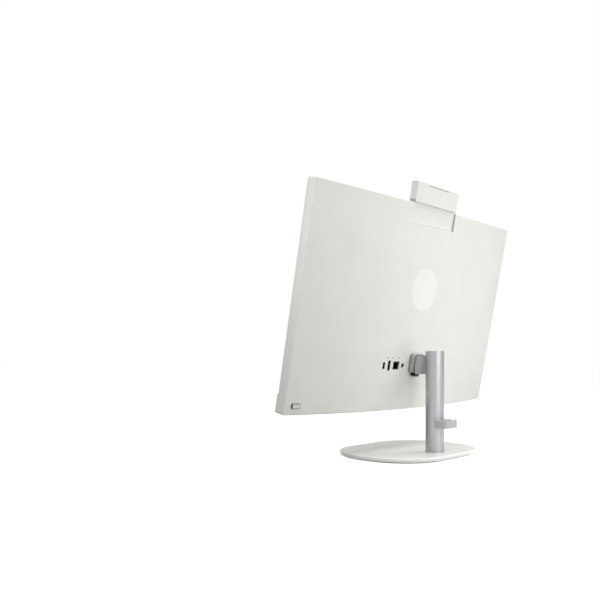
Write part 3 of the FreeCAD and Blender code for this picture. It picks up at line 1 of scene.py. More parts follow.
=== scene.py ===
# %% [markdown]
# # Dressing an all-in-one desktop computer
# The computer is a thin display head with a bowed back, a camera block that pops up out
# of a notch in its top edge, and a round post on a flat, rounded base. The solids come
# packed from the CAD program and are never moved here. What this lesson adds is the
# finishes, the small things that are too fine for the solids, the light and the camera.

# %% Load the fixed frame
import json
import math

import bpy
import numpy as np
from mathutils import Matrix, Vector


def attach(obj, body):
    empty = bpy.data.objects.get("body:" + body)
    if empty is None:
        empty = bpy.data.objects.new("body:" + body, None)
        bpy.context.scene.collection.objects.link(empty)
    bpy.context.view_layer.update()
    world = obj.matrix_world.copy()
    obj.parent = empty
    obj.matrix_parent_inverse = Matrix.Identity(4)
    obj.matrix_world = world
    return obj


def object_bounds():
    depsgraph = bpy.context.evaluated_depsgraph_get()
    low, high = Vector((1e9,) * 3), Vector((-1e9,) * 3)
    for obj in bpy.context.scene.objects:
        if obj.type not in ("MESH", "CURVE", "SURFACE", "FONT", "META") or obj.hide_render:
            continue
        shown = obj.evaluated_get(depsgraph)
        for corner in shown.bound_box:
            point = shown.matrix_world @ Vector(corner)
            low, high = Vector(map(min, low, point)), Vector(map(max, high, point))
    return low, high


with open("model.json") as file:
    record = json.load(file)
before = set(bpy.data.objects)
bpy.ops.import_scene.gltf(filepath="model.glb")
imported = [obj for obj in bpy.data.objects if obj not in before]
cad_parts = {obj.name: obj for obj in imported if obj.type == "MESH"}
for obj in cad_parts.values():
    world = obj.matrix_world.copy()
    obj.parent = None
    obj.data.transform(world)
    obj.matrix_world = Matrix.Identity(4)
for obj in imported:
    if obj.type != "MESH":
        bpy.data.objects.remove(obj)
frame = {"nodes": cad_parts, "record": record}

cad_low, cad_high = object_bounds()
scene = bpy.context.scene
slot_of = {part["node"]: part["material_slot"] for part in frame["record"]["subparts"]}
mounts = {mount["name"]: mount for mount in frame["record"]["mounts"]}
back = Vector(mounts["hdmi_socket"]["axis"])
up = Vector((1.0, 0.0, 0.0)).cross(back)
# Rows: sideways, out of the back and upwards, as the tilted head has them.
head_axes = np.array([(1.0, 0.0, 0.0), back, up])
print("object box, metres:", [round(v, 4) for v in cad_low], [round(v, 4) for v in cad_high])
print("the head's back looks along", [round(v, 3) for v in back])
print("the head's up is", [round(v, 3) for v in up])

# %% [markdown]
# ## The camera
# The camera stands behind the computer, off its left rear corner, at the height of the
# hinge and level, so that upright edges stay upright in the picture. A shift lens frames
# the object above the horizon without tilting the camera, as an architect's lens does.

# %% Camera
CAMERA_PLACE = Vector((0.93833, 0.65243, 0.16125))
CAMERA_AZIMUTH = math.radians(133.86)
CAMERA_ELEVATION = math.radians(0.08)
toward_camera = Vector((
    math.sin(CAMERA_AZIMUTH) * math.cos(CAMERA_ELEVATION),
    -math.cos(CAMERA_AZIMUTH) * math.cos(CAMERA_ELEVATION),
    math.sin(CAMERA_ELEVATION),
))
lens = bpy.data.cameras.new("shift_lens")
lens.sensor_width = 36
lens.lens = 40.763
lens.shift_y = 0.0949
lens.clip_start = 0.01
camera = bpy.data.objects.new("camera", lens)
camera.location = CAMERA_PLACE
camera.rotation_euler = (-toward_camera).to_track_quat("-Z", "Y").to_euler()
scene.collection.objects.link(camera)
scene.camera = camera
print("camera looks along", [round(v, 3) for v in -toward_camera])

# %% [markdown]
# ## Colour and node helpers
# Colours are picked as the hex values that a screen shows, and Blender works in linear
# light, so one function turns the one into the other. Another adds a shader node with
# its settings and its links in a single call, which keeps each material a short recipe.

# %% Colour and node helpers
def linear(code):
    """sRGB hex to linear: up to 0.04045 v / 12.92, above it ((v + 0.055) / 1.055) ** 2.4."""
    srgb = np.array([int(code[place:place + 2], 16) for place in (1, 3, 5)]) / 255
    light = np.where(srgb <= 0.04045, srgb / 12.92, ((srgb + 0.055) / 1.055) ** 2.4)
    return (*light.tolist(), 1.0)


def add(tree, kind, inputs=None, **settings):
    """Adds one node: settings are its options, inputs are values or links by socket."""
    made = tree.nodes.new(kind)
    for name, value in settings.items():
        setattr(made, name, value)
    for name, value in (inputs or {}).items():
        if isinstance(value, bpy.types.NodeSocket):
            tree.links.new(value, made.inputs[name])
        else:
            made.inputs[name].default_value = value
    return made


def start(name):
    """A new material with an empty tree, and the object's own coordinates in metres."""
    made = bpy.data.materials.new(name)
    made.use_nodes = True
    made.node_tree.nodes.clear()
    place = add(made.node_tree, "ShaderNodeTexCoord").outputs["Object"]
    return made, made.node_tree, place


def close(tree, shader):
    """Joins a shader to the material's output."""
    add(tree, "ShaderNodeOutputMaterial", {"Surface": shader.outputs[0]})


def per_mm(size):
    """Texture scale at which one cell of a pattern measures size millimetres."""
    return 1000.0 / size


print("paper white in linear light:", [round(v, 3) for v in linear("#F2F2EE")])

# %% [markdown]
# ## Colour by place and by direction
# A printed bar covers a place, and the second shot of a two-colour moulding covers the
# sides of a part and not its face. The same two tools also lay painted shade and painted
# light on places and sides. All can be said in numbers, so no image is needed: a box in
# the head's directions says where, and the way a face looks says which faces.

# %% Colour by place and by direction
FACING = 0.9  # cosine of the angle past which a face counts as turned away


def inside(tree, place, low, high, blur=0.0001):
    """1 inside a box in the head's own directions, 0 outside.

    Each distance from the box's middle, less half the box's size, is below zero inside,
    so the largest of the three says how far outside a point is.
    """
    over = []
    for axis, near_end, far_end in zip(head_axes.tolist(), low, high):
        along = add(tree, "ShaderNodeVectorMath", {0: place, 1: axis}, operation="DOT_PRODUCT")
        off = add(tree, "ShaderNodeMath", {0: along.outputs["Value"], 1: (near_end + far_end) / 2},
                  operation="SUBTRACT")
        far = add(tree, "ShaderNodeMath", {0: off.outputs[0]}, operation="ABSOLUTE")
        over.append(add(tree, "ShaderNodeMath", {0: far.outputs[0], 1: (far_end - near_end) / 2},
                        operation="SUBTRACT").outputs[0])
    most = add(tree, "ShaderNodeMath", {0: over[0], 1: over[1]}, operation="MAXIMUM").outputs[0]
    most = add(tree, "ShaderNodeMath", {0: most, 1: over[2]}, operation="MAXIMUM").outputs[0]
    return add(tree, "ShaderNodeMapRange", {
        "Value": most, "From Min": -blur, "From Max": blur,
        "To Min": 1.0, "To Max": 0.0}).outputs["Result"]


def painted(tree, place, tint, boxes):
    """Lays a colour over a tint in each box of (colour, low, high, softness if any)."""
    for colour, low, high, *soft in boxes:
        tint = add(tree, "ShaderNodeMix", {
            0: inside(tree, place, low, high, *soft), 6: tint, 7: linear(colour)},
            data_type="RGBA").outputs[2]
    return tint


def second_shot_or_painted_light(tree, tint, colour, direction):
    """Another colour on every face that does not look along a direction."""
    normal = add(tree, "ShaderNodeTexCoord").outputs["Normal"]
    facing = add(tree, "ShaderNodeVectorMath", {0: normal, 1: direction}, operation="DOT_PRODUCT")
    front = add(tree, "ShaderNodeMath", {0: facing.outputs["Value"], 1: FACING},
                operation="GREATER_THAN")
    return add(tree, "ShaderNodeMix", {
        0: front.outputs["Value"], 6: linear(colour), 7: tint}, data_type="RGBA").outputs[2]


print("a face is turned away past", round(math.degrees(math.acos(FACING))), "degrees")

# %% [markdown]
# ## Measuring the solids
# Colour laid on by place has to know where the edges of the solids are. The head leans
# back, so their points are first turned into the head's own directions: sideways, out of
# the back, and upwards.

# %% Measuring the solids
NEAR = 0.0002  # measures this close belong to the same edge
NOTCH_GAP = 0.0012  # open slit at either side of the camera block
NOTCH_REACH = 0.035  # the notch's floor is less than this below the head's top
FACE_DEPTH = 0.0004  # points this close to the key's outermost belong to its face


def head_span(name):
    """A solid's points in the head's directions, and the lowest and highest of them."""
    mesh = frame["nodes"][name].data
    spots = np.empty(3 * len(mesh.vertices))
    mesh.vertices.foreach_get("co", spots)
    spots = spots.reshape(-1, 3) @ head_axes.T
    return spots, spots.min(axis=0), spots.max(axis=0)


cover, _, cover_high = head_span("rear_cover")
_, shell_low, shell_high = head_span("camera_rear_shell")
beside = abs(abs(cover[:, 0]) - shell_high[0] - NOTCH_GAP) < NEAR
beside &= cover[:, 2] > cover_high[2] - NOTCH_REACH
notch_low = float(cover[beside, 2].min())
notch_out = float(cover[beside, 1].max())
key, _, key_high = head_span("power_button")
face = key[key[:, 1] > key_high[1] - FACE_DEPTH]
face_low, face_high = face.min(axis=0), face.max(axis=0)
print("notch floor", round(notch_low * 1000, 1), "mm up the head")
print("key face, millimetres:", [round(v * 1000, 1) for v in face_high - face_low])

# %% [markdown]
# ## Where two colours meet
# A fine line or a small bar in another colour is print, a lens, or painted shade where a gap,
# a groove or a recess would be dark. None has a thickness that shows, so each is a box in the
# head's directions, and the material takes the box's colour wherever its surface lies
# inside that box.

# %% Where two colours meet
OVER = 0.001  # a box reaches this far past a surface, so that the surface lies within it
# The edges of the boxes, in metres from the edge or the middle that each is named for.
LIP_DEPTH, LIP_HEIGHT = 0.0006, 0.0010
SLEEVE_SKIN, SLEEVE_SUNK, SLEEVE_BACK, SLEEVE_RISE = 0.0003, 0.002, 0.0008, 0.0055
KEY_TOP_LINE, KEY_LOW_LINE = 0.0013, 0.0015
LIGHT_HALF = np.array([0.0016, 0.001, 0.0006])
MARK_HALF = np.array([0.0023, 0.004, 0.0008])
MARK_RISE = 0.0125  # from a socket's middle up to its mark
GROOVE_INSET, GROOVE_WIDTH = 0.0013, 0.0008

# A painted shade line under the camera's notch stands in for the shade of its rounded lip.
notch_lip_shade = ("#D2D1CD",
             (-shell_high[0] - OVER, notch_out - LIP_DEPTH, notch_low - LIP_HEIGHT),
             (shell_high[0] + OVER, notch_out + OVER, notch_low + NEAR))
# The block's side is painted darker where it leaves the head: painted shade at its foot.
sleeve_foot_shade = ("#ABAAA7",
               (shell_high[0] - SLEEVE_SKIN, shell_low[1] - OVER, cover_high[2] - SLEEVE_SUNK),
               (shell_high[0] + OVER, shell_high[1] - SLEEVE_BACK, cover_high[2] + SLEEVE_RISE))
# Painted shade lines run along the key's top and its lower edge, where the gap round it is
# dark, and its status light is a bar of grey lens in the middle of its face.
key_mid = (face_low + face_high) / 2
key_shade_lines_and_light = [
    ("#A2A29F", (*(face_low - OVER)[:2], face_high[2] - KEY_TOP_LINE), face_high + OVER),
    ("#A9A9A6", face_low - OVER, (*(face_high + OVER)[:2], face_low[2] + KEY_LOW_LINE)),
    ("#A5A5A2", key_mid - LIGHT_HALF, key_mid + LIGHT_HALF),
]

# Small grey bars are printed over three sockets, a little to one side of each.
MARK_SHIFTS = {"usb_c_socket": 0.0070, "hdmi_socket": 0.0070, "ethernet_socket": 0.0060}
port_marks = []
for socket, shift in MARK_SHIFTS.items():
    spot = Vector(mounts[socket]["pos_m"])
    mark = np.array([spot.x - shift, spot.dot(back), spot.dot(up) + MARK_RISE])
    port_marks.append(("#A6A6A2", mark - MARK_HALF, mark + MARK_HALF))

# A painted shade line stands in for a fine groove 0.9 mm inside the disc's edge.
_, disc_low, disc_high = head_span("badge_disc")
disc_face = (disc_low + disc_high) / 2
disc_face[1] = disc_high[1]
disc_radius = (disc_high[0] - disc_low[0]) / 2
disc_groove_shade = ("#D4D3CE", Vector(disc_face @ head_axes), disc_radius - GROOVE_INSET, GROOVE_WIDTH)
print("port marks start at, millimetres:",
      [[round(v * 1000, 1) for v in low] for _, low, _ in port_marks])
print("badge radius, millimetres:", round(disc_radius * 1000, 2))

# %% [markdown]
# ## Moulded plastic
# Most of the skin is ABS injected into a steel tool. The tool is spark-eroded, which
# leaves a fine even grain that breaks up reflections, and the resin flows a little
# unevenly, which shows as very faint clouds. So the recipe has two noises: a wide one that
# tints the colour by a percent or two, and a fine one that moves the surface normal and
# the roughness but not the colour. A real grain of 0.1 mm can't be seen at this distance,
# so it is drawn coarser.

# %% Moulded plastic
CLOUD_MM = 70  # width of one faint cloud


def varied(tree, colour, pattern, low, high, span=(0.3, 0.7)):
    """A colour times a factor that goes from low to high while a pattern crosses its span."""
    shade = add(tree, "ShaderNodeMapRange", {
        "Value": pattern, "From Min": span[0], "From Max": span[1], "To Min": low, "To Max": high})
    return add(tree, "ShaderNodeVectorMath", {
        0: linear(colour)[:3], "Scale": shade.outputs["Result"]},
        operation="SCALE").outputs["Vector"]


def moulded(name, colour, roughness, grain_mm=0.7, relief_mm=0.02, cloud=0.02, swing=0.05,
            ior=1.53, second=None, boxes=(), ring=None):
    """Injection-moulded plastic: faint clouds in the colour, a spark-eroded grain in relief.

    A second colour is (colour, direction): it covers every face that does not look that way,
    as a second shot does or as painted shade on the sides.
    A ring is (colour, centre, radius, width): a line at that distance from a centre.
    """
    made, tree, place = start(name)
    clouds = add(tree, "ShaderNodeTexNoise", {
        "Vector": place, "Scale": per_mm(CLOUD_MM), "Detail": 2.0})
    tint = varied(tree, colour, clouds.outputs["Fac"], 1.0 - cloud, 1.0 + cloud)
    if second:
        tint = second_shot_or_painted_light(tree, tint, *second)
    tint = painted(tree, place, tint, boxes)
    if ring:
        line, centre, radius, width = ring
        gap = add(tree, "ShaderNodeVectorMath", {0: place, 1: centre}, operation="DISTANCE")
        on_ring = add(tree, "ShaderNodeMath", {
            0: gap.outputs["Value"], 1: radius, 2: width / 2}, operation="COMPARE")
        tint = add(tree, "ShaderNodeMix", {
            0: on_ring.outputs["Value"], 6: tint, 7: linear(line)}, data_type="RGBA").outputs[2]
    grain = add(tree, "ShaderNodeTexNoise", {
        "Vector": place, "Scale": per_mm(grain_mm), "Detail": 3.0, "Roughness": 0.6})
    relief = add(tree, "ShaderNodeBump", {
        "Height": grain.outputs["Fac"], "Strength": 0.35, "Distance": relief_mm / 1000})
    rub = add(tree, "ShaderNodeMapRange", {
        "Value": grain.outputs["Fac"], "To Min": roughness - swing, "To Max": roughness + swing})
    close(tree, add(tree, "ShaderNodeBsdfPrincipled", {
        "Base Color": tint, "Roughness": rub.outputs["Result"], "IOR": ior,
        "Normal": relief.outputs["Normal"]}))
    return made


print("clouds in the resin are about", CLOUD_MM, "mm wide")

# %% [markdown]
# ## The plastics of this computer
# ABS takes colour and texture well, so it is what shows. Polycarbonate is tougher and
# deeper in colour, and does for the mask and the lens barrel. Acetal slides without oil,
# so the camera's rails and the release key are made of it, and the sockets are of
# polymers that stand the heat of soldering.

# %% The plastics of this computer
finishes = {
    # Warm white ABS of the back and the bezel: matt, so the light falls off softly. It carries a
    # painted shade line under the camera's notch and printed marks over three sockets.
    "shell_plastic": moulded("warm_white_abs_spark_eroded", "#E6E5E0", 0.52,
                             boxes=[notch_lip_shade, *port_marks]),
    # The camera's shell is the same white over a grey sleeve that shows at its sides, with
    # painted shade at the sleeve's foot.
    "camera_shell": moulded("warm_white_abs_over_grey_sleeve", "#E6E5E0", 0.52,
                            second=("#DAD9D5", back), boxes=[sleeve_foot_shade]),
    # The bare disc is polished in the tool, so it catches more light than the back. A painted
    # shade line stands in for the groove near its edge.
    "badge_plastic": moulded("white_abs_polished_disc", "#EEEDE8", 0.3, grain_mm=2.0,
                             relief_mm=0.0008, ring=disc_groove_shade),
    # The border round the picture is black, with a texture too fine to shine.
    "mask_plastic": moulded("black_polycarbonate_fine_texture", "#151517", 0.55, ior=1.58),
    # The key has a pale face, and its sides are painted dark as painted shade for the gap round it.
    "button_plastic": moulded("satin_abs_key_painted_shade_sides", "#DEDDD8", 0.42, grain_mm=0.5,
                              second=("#676765", back), boxes=key_shade_lines_and_light),
    # Glass-filled polymer is grey-black and dull.
    "fan_plastic": moulded("black_glass_filled_polyamide", "#1E1F21", 0.6, grain_mm=0.9,
                           relief_mm=0.03),
    # Liquid-crystal polymer of the board's sockets is charcoal and dull.
    "socket_plastic": moulded("black_lcp_socket", "#222326", 0.5, grain_mm=0.5),
    # Nylon moulds a little smoother, and the jacks' mouths are blacker.
    "jack_plastic": moulded("black_nylon_jack", "#0E0E0F", 0.45, grain_mm=0.5),
    # The speakers' boxes are plain black ABS, as matt as the back.
    "speaker_plastic": moulded("black_abs_speaker_box", "#1B1C1E", 0.55),
    # A lens barrel is black all through, so that no stray light reaches the lens.
    "barrel_plastic": moulded("black_polycarbonate_lens_barrel", "#101012", 0.4, grain_mm=0.4),
    # Acetal is waxy: its highlights are soft at the edge and bright in the middle.
    "latch_plastic": moulded("black_acetal_release_key", "#0B0B0C", 0.38, grain_mm=0.4),
    "rail_acetal": moulded("black_acetal_slide", "#141415", 0.33, grain_mm=1.2,
                           relief_mm=0.006, ior=1.48),
    # The clip is silver-grey right through, to match the post.
    "clip_plastic": moulded("silver_grey_abs_clip", "#B4B4B7", 0.4, grain_mm=0.5),
    # Epoxy round a chip is filled with glass powder, and looks dry.
    "chip_epoxy": moulded("black_epoxy_chip_package", "#17181A", 0.5, grain_mm=0.3,
                          relief_mm=0.01),
    # The pad under the base is silicone rubber, as dull as plastic can look.
    "pad_rubber": moulded("grey_silicone_pad", "#DADAD7", 0.75, grain_mm=0.8, relief_mm=0.03,
                          ior=1.42),
}
print(len(finishes), "moulded finishes")

# %% [markdown]
# ## Sheet, turned and anodised metal
# A metal has no colour of its own under the shine: what it shows is its surroundings,
# tinted. What tells sheet, turned bar and anodised tube apart is how the roughness runs.
# Rolled or drawn metal has fine lines along one way, so the noise's coordinates are
# squeezed along it, which draws the noise out into lines. A plated sheet has small soft
# crystals.

# %% Metals
EVEN = (1.0, 1.0, 1.0)  # no squeeze: a ground or plated surface has no lines
DARK_CRYSTAL, LIGHT_CRYSTAL = 0.9, 1.06


def drawn_metal(name, colour, roughness, squeeze=(1.0, 1.0, 0.02), line_mm=0.5, swing=0.08,
                relief_mm=0.004):
    """Metal with fine lines along the axis whose squeeze is small."""
    made, tree, place = start(name)
    along = add(tree, "ShaderNodeVectorMath", {0: place, 1: squeeze}, operation="MULTIPLY")
    lines = add(tree, "ShaderNodeTexNoise", {
        "Vector": along.outputs["Vector"], "Scale": per_mm(line_mm), "Detail": 3.0})
    rub = add(tree, "ShaderNodeMapRange", {
        "Value": lines.outputs["Fac"], "From Min": 0.25, "From Max": 0.75,
        "To Min": roughness - swing, "To Max": roughness + swing})
    relief = add(tree, "ShaderNodeBump", {
        "Height": lines.outputs["Fac"], "Strength": 0.25, "Distance": relief_mm / 1000})
    close(tree, add(tree, "ShaderNodeBsdfPrincipled", {
        "Base Color": linear(colour), "Metallic": 1.0, "Roughness": rub.outputs["Result"],
        "Normal": relief.outputs["Normal"]}))
    return made


def plated_sheet(name, colour, roughness, crystal_mm=4.0, swing=0.06):
    """Zinc or nickel plate: patches of crystals that are each a touch lighter or darker."""
    made, tree, place = start(name)
    crystals = add(tree, "ShaderNodeTexVoronoi", {"Vector": place, "Scale": per_mm(crystal_mm)})
    tone = add(tree, "ShaderNodeSeparateColor", {"Color": crystals.outputs["Color"]})
    tint = varied(tree, colour, tone.outputs["Red"], DARK_CRYSTAL, LIGHT_CRYSTAL, (0.0, 1.0))
    rub = add(tree, "ShaderNodeMapRange", {
        "Value": tone.outputs["Green"], "To Min": roughness - swing, "To Max": roughness + swing})
    close(tree, add(tree, "ShaderNodeBsdfPrincipled", {
        "Base Color": tint, "Metallic": 1.0, "Roughness": rub.outputs["Result"]}))
    return made


finishes.update({
    # The post is an extruded tube, bead-blasted and clear anodised: soft wide highlights.
    "post_aluminium": drawn_metal("satin_anodised_aluminium_tube", "#BCBCBF", 0.42),
    # Rolled sheet and folded fins keep the lines of the rolls, and shine in bands along them.
    "tray_aluminium": drawn_metal("rolled_aluminium_tray", "#BFC1C3", 0.35, (0.02, 1.0, 1.0)),
    "fin_aluminium": drawn_metal("folded_aluminium_fins", "#C9CACC", 0.3, (1.0, 0.05, 1.0)),
    # Ground and plated steel have no lines: they shine evenly, and zinc is a shade darker.
    "pin_steel": drawn_metal("ground_steel_pin", "#C0C1C4", 0.42, EVEN, line_mm=0.3),
    "screw_steel": drawn_metal("zinc_plated_screw", "#9EA1A5", 0.3, EVEN, line_mm=0.4),
    # Drawn copper is warm, and etched foil is paler and yellower.
    "heat_copper": drawn_metal("drawn_copper", "#C98A63", 0.28, (1.0, 1.0, 0.05)),
    "antenna_foil": drawn_metal("etched_copper_foil", "#C59A5A", 0.32, (0.05, 1.0, 1.0)),
    # Nickel plate on the coin cell is nearly a mirror.
    "cell_steel": drawn_metal("nickel_plated_cell", "#CDCDCB", 0.18, EVEN, line_mm=0.6),
    # Zinc plate on the chassis shows its crystals as faint patches.
    "chassis_steel": plated_sheet("zinc_plated_chassis_sheet", "#A5A7A9", 0.42),
    # The port shells are black nickel, and read as dark holes in the white back.
    "connector_steel": plated_sheet("black_nickel_port_shell", "#1A1B1D", 0.5, crystal_mm=1.5),
})
print(len(finishes), "finishes so far")

# %% [markdown]
# ## Paint and powder coat
# Powder coat melts into a skin with a slight orange peel. It is a dielectric layer over
# metal, so it is not metallic at all: it shades like plastic, with a low wide relief.

# %% Paint
PLATE_SIDE = (0.0125, 0.0152)  # the hinge plate's sides: its mast is narrower, its flange wider
# PLATE_FOOT sets a band of painted shade where the plate leaves the cover, and the KNUCKLE values
# set the knuckle's painted light.
PLATE_FOOT = 0.0026  # how far the dark band runs up the plate
KNUCKLE_START, KNUCKLE_MARGIN, KNUCKLE_BLUR = 0.010, 0.003, 0.002
CHEEK_SKIN = 0.0003  # the arm's painted cheeks are its outer 0.3 mm
ARM_END_START, ARM_END_BLUR = 0.006, 0.003
FAR = 1.0  # a box side this far out lies past everything


def coated(name, colour, roughness, peel_mm=1.8, relief_mm=0.012, fleck=0.03, fleck_mm=0.8,
           boxes=(), second=None):
    """Powder coat: orange peel in relief and a faint fleck in the colour."""
    made, tree, place = start(name)
    peel = add(tree, "ShaderNodeTexNoise", {
        "Vector": place, "Scale": per_mm(peel_mm), "Detail": 2.0})
    specks = add(tree, "ShaderNodeTexNoise", {
        "Vector": place, "Scale": per_mm(fleck_mm), "Detail": 4.0})
    tint = varied(tree, colour, specks.outputs["Fac"], 1.0 - fleck, 1.0 + fleck)
    tint = painted(tree, place, tint, boxes)
    if second:
        tint = second_shot_or_painted_light(tree, tint, *second)
    relief = add(tree, "ShaderNodeBump", {
        "Height": peel.outputs["Fac"], "Strength": 0.4, "Distance": relief_mm / 1000})
    close(tree, add(tree, "ShaderNodeBsdfPrincipled", {
        "Base Color": tint, "Roughness": roughness, "IOR": 1.5,
        "Normal": relief.outputs["Normal"]}))
    return made


bracket, bracket_low, bracket_high = head_span("hinge_bracket")
sideways = abs(bracket[:, 0])
on_plate = (sideways > PLATE_SIDE[0]) & (sideways < PLATE_SIDE[1])
root = float(bracket[on_plate, 1].min())
# The dark band is painted shade where the plate leaves the cover, and the knuckle is painted
# lighter to lift its shade.
root_shade_box = (bracket_low - OVER, (bracket_high[0] + OVER, root + PLATE_FOOT, bracket_high[2] + OVER))
knuckle_light_box = ((bracket_low[0] - KNUCKLE_MARGIN, root + KNUCKLE_START, bracket_low[2] - KNUCKLE_MARGIN),
           bracket_high + KNUCKLE_MARGIN, KNUCKLE_BLUR)
_, arm_low, arm_high = head_span("neck_arm")
# The arm's narrow edges are painted lighter to lift their shade, and its end is painted darker as
# the post's shadow.
arm_edges_light_box = ((arm_low[0] + CHEEK_SKIN, -FAR, -FAR), (arm_high[0] - CHEEK_SKIN, FAR, FAR))
arm_end_shade_box = ((-FAR, ARM_END_START, -FAR), (FAR, FAR, FAR), ARM_END_BLUR)
print("hinge plate starts", round(root * 1000, 2), "mm along the head's back direction")
print("arm reaches", [round(v * 1000, 1) for v in (arm_low[1], arm_high[1])], "mm along it")

finishes.update({
    # The base plate's rim, every face that does not look up, is painted whiter: painted light on
    # the rim.
    "base_paint": coated("warm_white_gloss_powder_coat", "#E8E7E2", 0.13,
                         second=("#EFEEEA", (0.0, 0.0, 1.0))),
    # The arm's cheeks are painted grey. Its narrow edges are painted lighter, painted light that
    # lifts their shade, and its end is painted darker, a painted shadow of the post.
    "arm_casting": coated("grey_painted_aluminium_casting", "#ADADAF", 0.42, peel_mm=1.2,
                          boxes=[("#CFCFCE", *arm_edges_light_box), ("#8D8C90", *arm_end_shade_box)]),
    # The hinge's casting wears the arm's grey, with a band of painted shade where it leaves the
    # cover and a knuckle painted lighter, painted light that lifts its shade.
    "hinge_casting": coated("grey_powder_coated_zinc_casting", "#A8A8A9", 0.45, peel_mm=0.9,
                            boxes=[("#808082", *root_shade_box), ("#D6D6D8", *knuckle_light_box)]),
})

# %% [markdown]
# ## Glass, acrylic and circuit board
# The picture area is glass with an anti-glare film, black when the computer is off. The
# light guide is clear acrylic, and the circuit board is green solder mask over a raised
# grid of copper tracks.

# %% Glass, acrylic and circuit board
def film_on_glass(name, colour, roughness, grit_mm=0.5, relief_mm=0.002, swing=0.04, coat=0.0):
    """Dark glass whose surface film scatters the reflection a little."""
    made, tree, place = start(name)
    grit = add(tree, "ShaderNodeTexNoise", {
        "Vector": place, "Scale": per_mm(grit_mm), "Detail": 1.0})
    rub = add(tree, "ShaderNodeMapRange", {
        "Value": grit.outputs["Fac"], "To Min": roughness - swing, "To Max": roughness + swing})
    relief = add(tree, "ShaderNodeBump", {
        "Height": grit.outputs["Fac"], "Strength": 0.1, "Distance": relief_mm / 1000})
    close(tree, add(tree, "ShaderNodeBsdfPrincipled", {
        "Base Color": linear(colour), "Roughness": rub.outputs["Result"], "IOR": 1.52,
        "Coat Weight": coat, "Normal": relief.outputs["Normal"]}))
    return made


def clear_acrylic(name, colour, roughness, transmission, haze_mm=12, swing=0.06):
    """Cast or moulded acrylic with a faint haze."""
    made, tree, place = start(name)
    haze = add(tree, "ShaderNodeTexNoise", {
        "Vector": place, "Scale": per_mm(haze_mm), "Detail": 2.0})
    rub = add(tree, "ShaderNodeMapRange", {
        "Value": haze.outputs["Fac"], "To Min": roughness, "To Max": roughness + swing})
    close(tree, add(tree, "ShaderNodeBsdfPrincipled", {
        "Base Color": linear(colour), "Roughness": rub.outputs["Result"], "IOR": 1.49,
        "Transmission Weight": transmission}))
    return made


def solder_mask(name, board, track, pitch_mm=2.4, patch_mm=14, relief_mm=0.03):
    """Green mask: tracks show as lighter lines on a grid that a noise breaks up."""
    made, tree, place = start(name)
    upright = add(tree, "ShaderNodeMapping", {
        "Vector": place, "Rotation": (math.pi / 2, 0.0, 0.0)})
    grid = add(tree, "ShaderNodeTexBrick", {
        "Vector": upright.outputs["Vector"], "Scale": per_mm(pitch_mm), "Mortar Size": 0.07,
        "Mortar Smooth": 0.2, "Brick Width": 2.0, "Row Height": 0.5, "Color1": linear(board),
        "Color2": linear(board), "Mortar": linear(track)})
    patches = add(tree, "ShaderNodeTexNoise", {
        "Vector": place, "Scale": per_mm(patch_mm), "Detail": 1.0})
    where = add(tree, "ShaderNodeMapRange", {
        "Value": patches.outputs["Fac"], "From Min": 0.45, "From Max": 0.55})
    tint = add(tree, "ShaderNodeMix", {
        0: where.outputs["Result"], 6: linear(board), 7: grid.outputs["Color"]},
        data_type="RGBA")
    relief = add(tree, "ShaderNodeBump", {
        "Height": grid.outputs["Fac"], "Strength": 0.3, "Distance": relief_mm / 1000})
    close(tree, add(tree, "ShaderNodeBsdfPrincipled", {
        "Base Color": tint.outputs[2], "Roughness": 0.35, "IOR": 1.5,
        "Normal": relief.outputs["Normal"]}))
    return made


finishes.update({
    # A film of fine grit turns the panel's reflections into a soft glow.
    "display_glass": film_on_glass("anti_glare_panel_glass", "#0B0B0D", 0.3),
    # The camera's window is polished, and a coated lens is violet-black behind it.
    "window_acrylic": film_on_glass("smoked_acrylic_camera_window", "#09090B", 0.08, coat=0.3),
    "lens_glass": film_on_glass("coated_lens_glass", "#161426", 0.03, coat=0.8),
    # The light guide is clear, so it shows mostly at its edges.
    "light_guide_acrylic": clear_acrylic("moulded_acrylic_light_guide", "#E9ECEE", 0.08, 0.6),
    # Over copper the mask is a lighter green, so the tracks show through it.
    "circuit_board": solder_mask("green_solder_mask_board", "#0E3A22", "#1F6B3F"),
})
missing = sorted(set(slot_of.values()) - set(finishes))
print(len(finishes), "finishes; slots without one:", missing)

# %% [markdown]
# ## Giving each solid its finish
# Every CAD node names a material slot in the record. Its mesh stays as it came, and only
# what its material slots point at changes.

# %% Finishes onto the solids
for name, solid in frame["nodes"].items():
    solid.data.materials.clear()
    solid.data.materials.append(finishes[slot_of[name]])
frame["nodes"]["camera_rear_shell"].data.materials[0] = finishes["camera_shell"]
print("dressed", len(frame["nodes"]), "solids")

# %% [markdown]
# ## Small pieces as stacks of rings
# A contact spring, a lens dome and a chip are one idea: a ring of points that is carried
# along a path while its size changes. Numpy works out every ring of every copy in one
# array, laid out as copies, stations along the path, points around the ring, and the three
# distances in the tilted head. One function then turns any such array into a closed mesh.

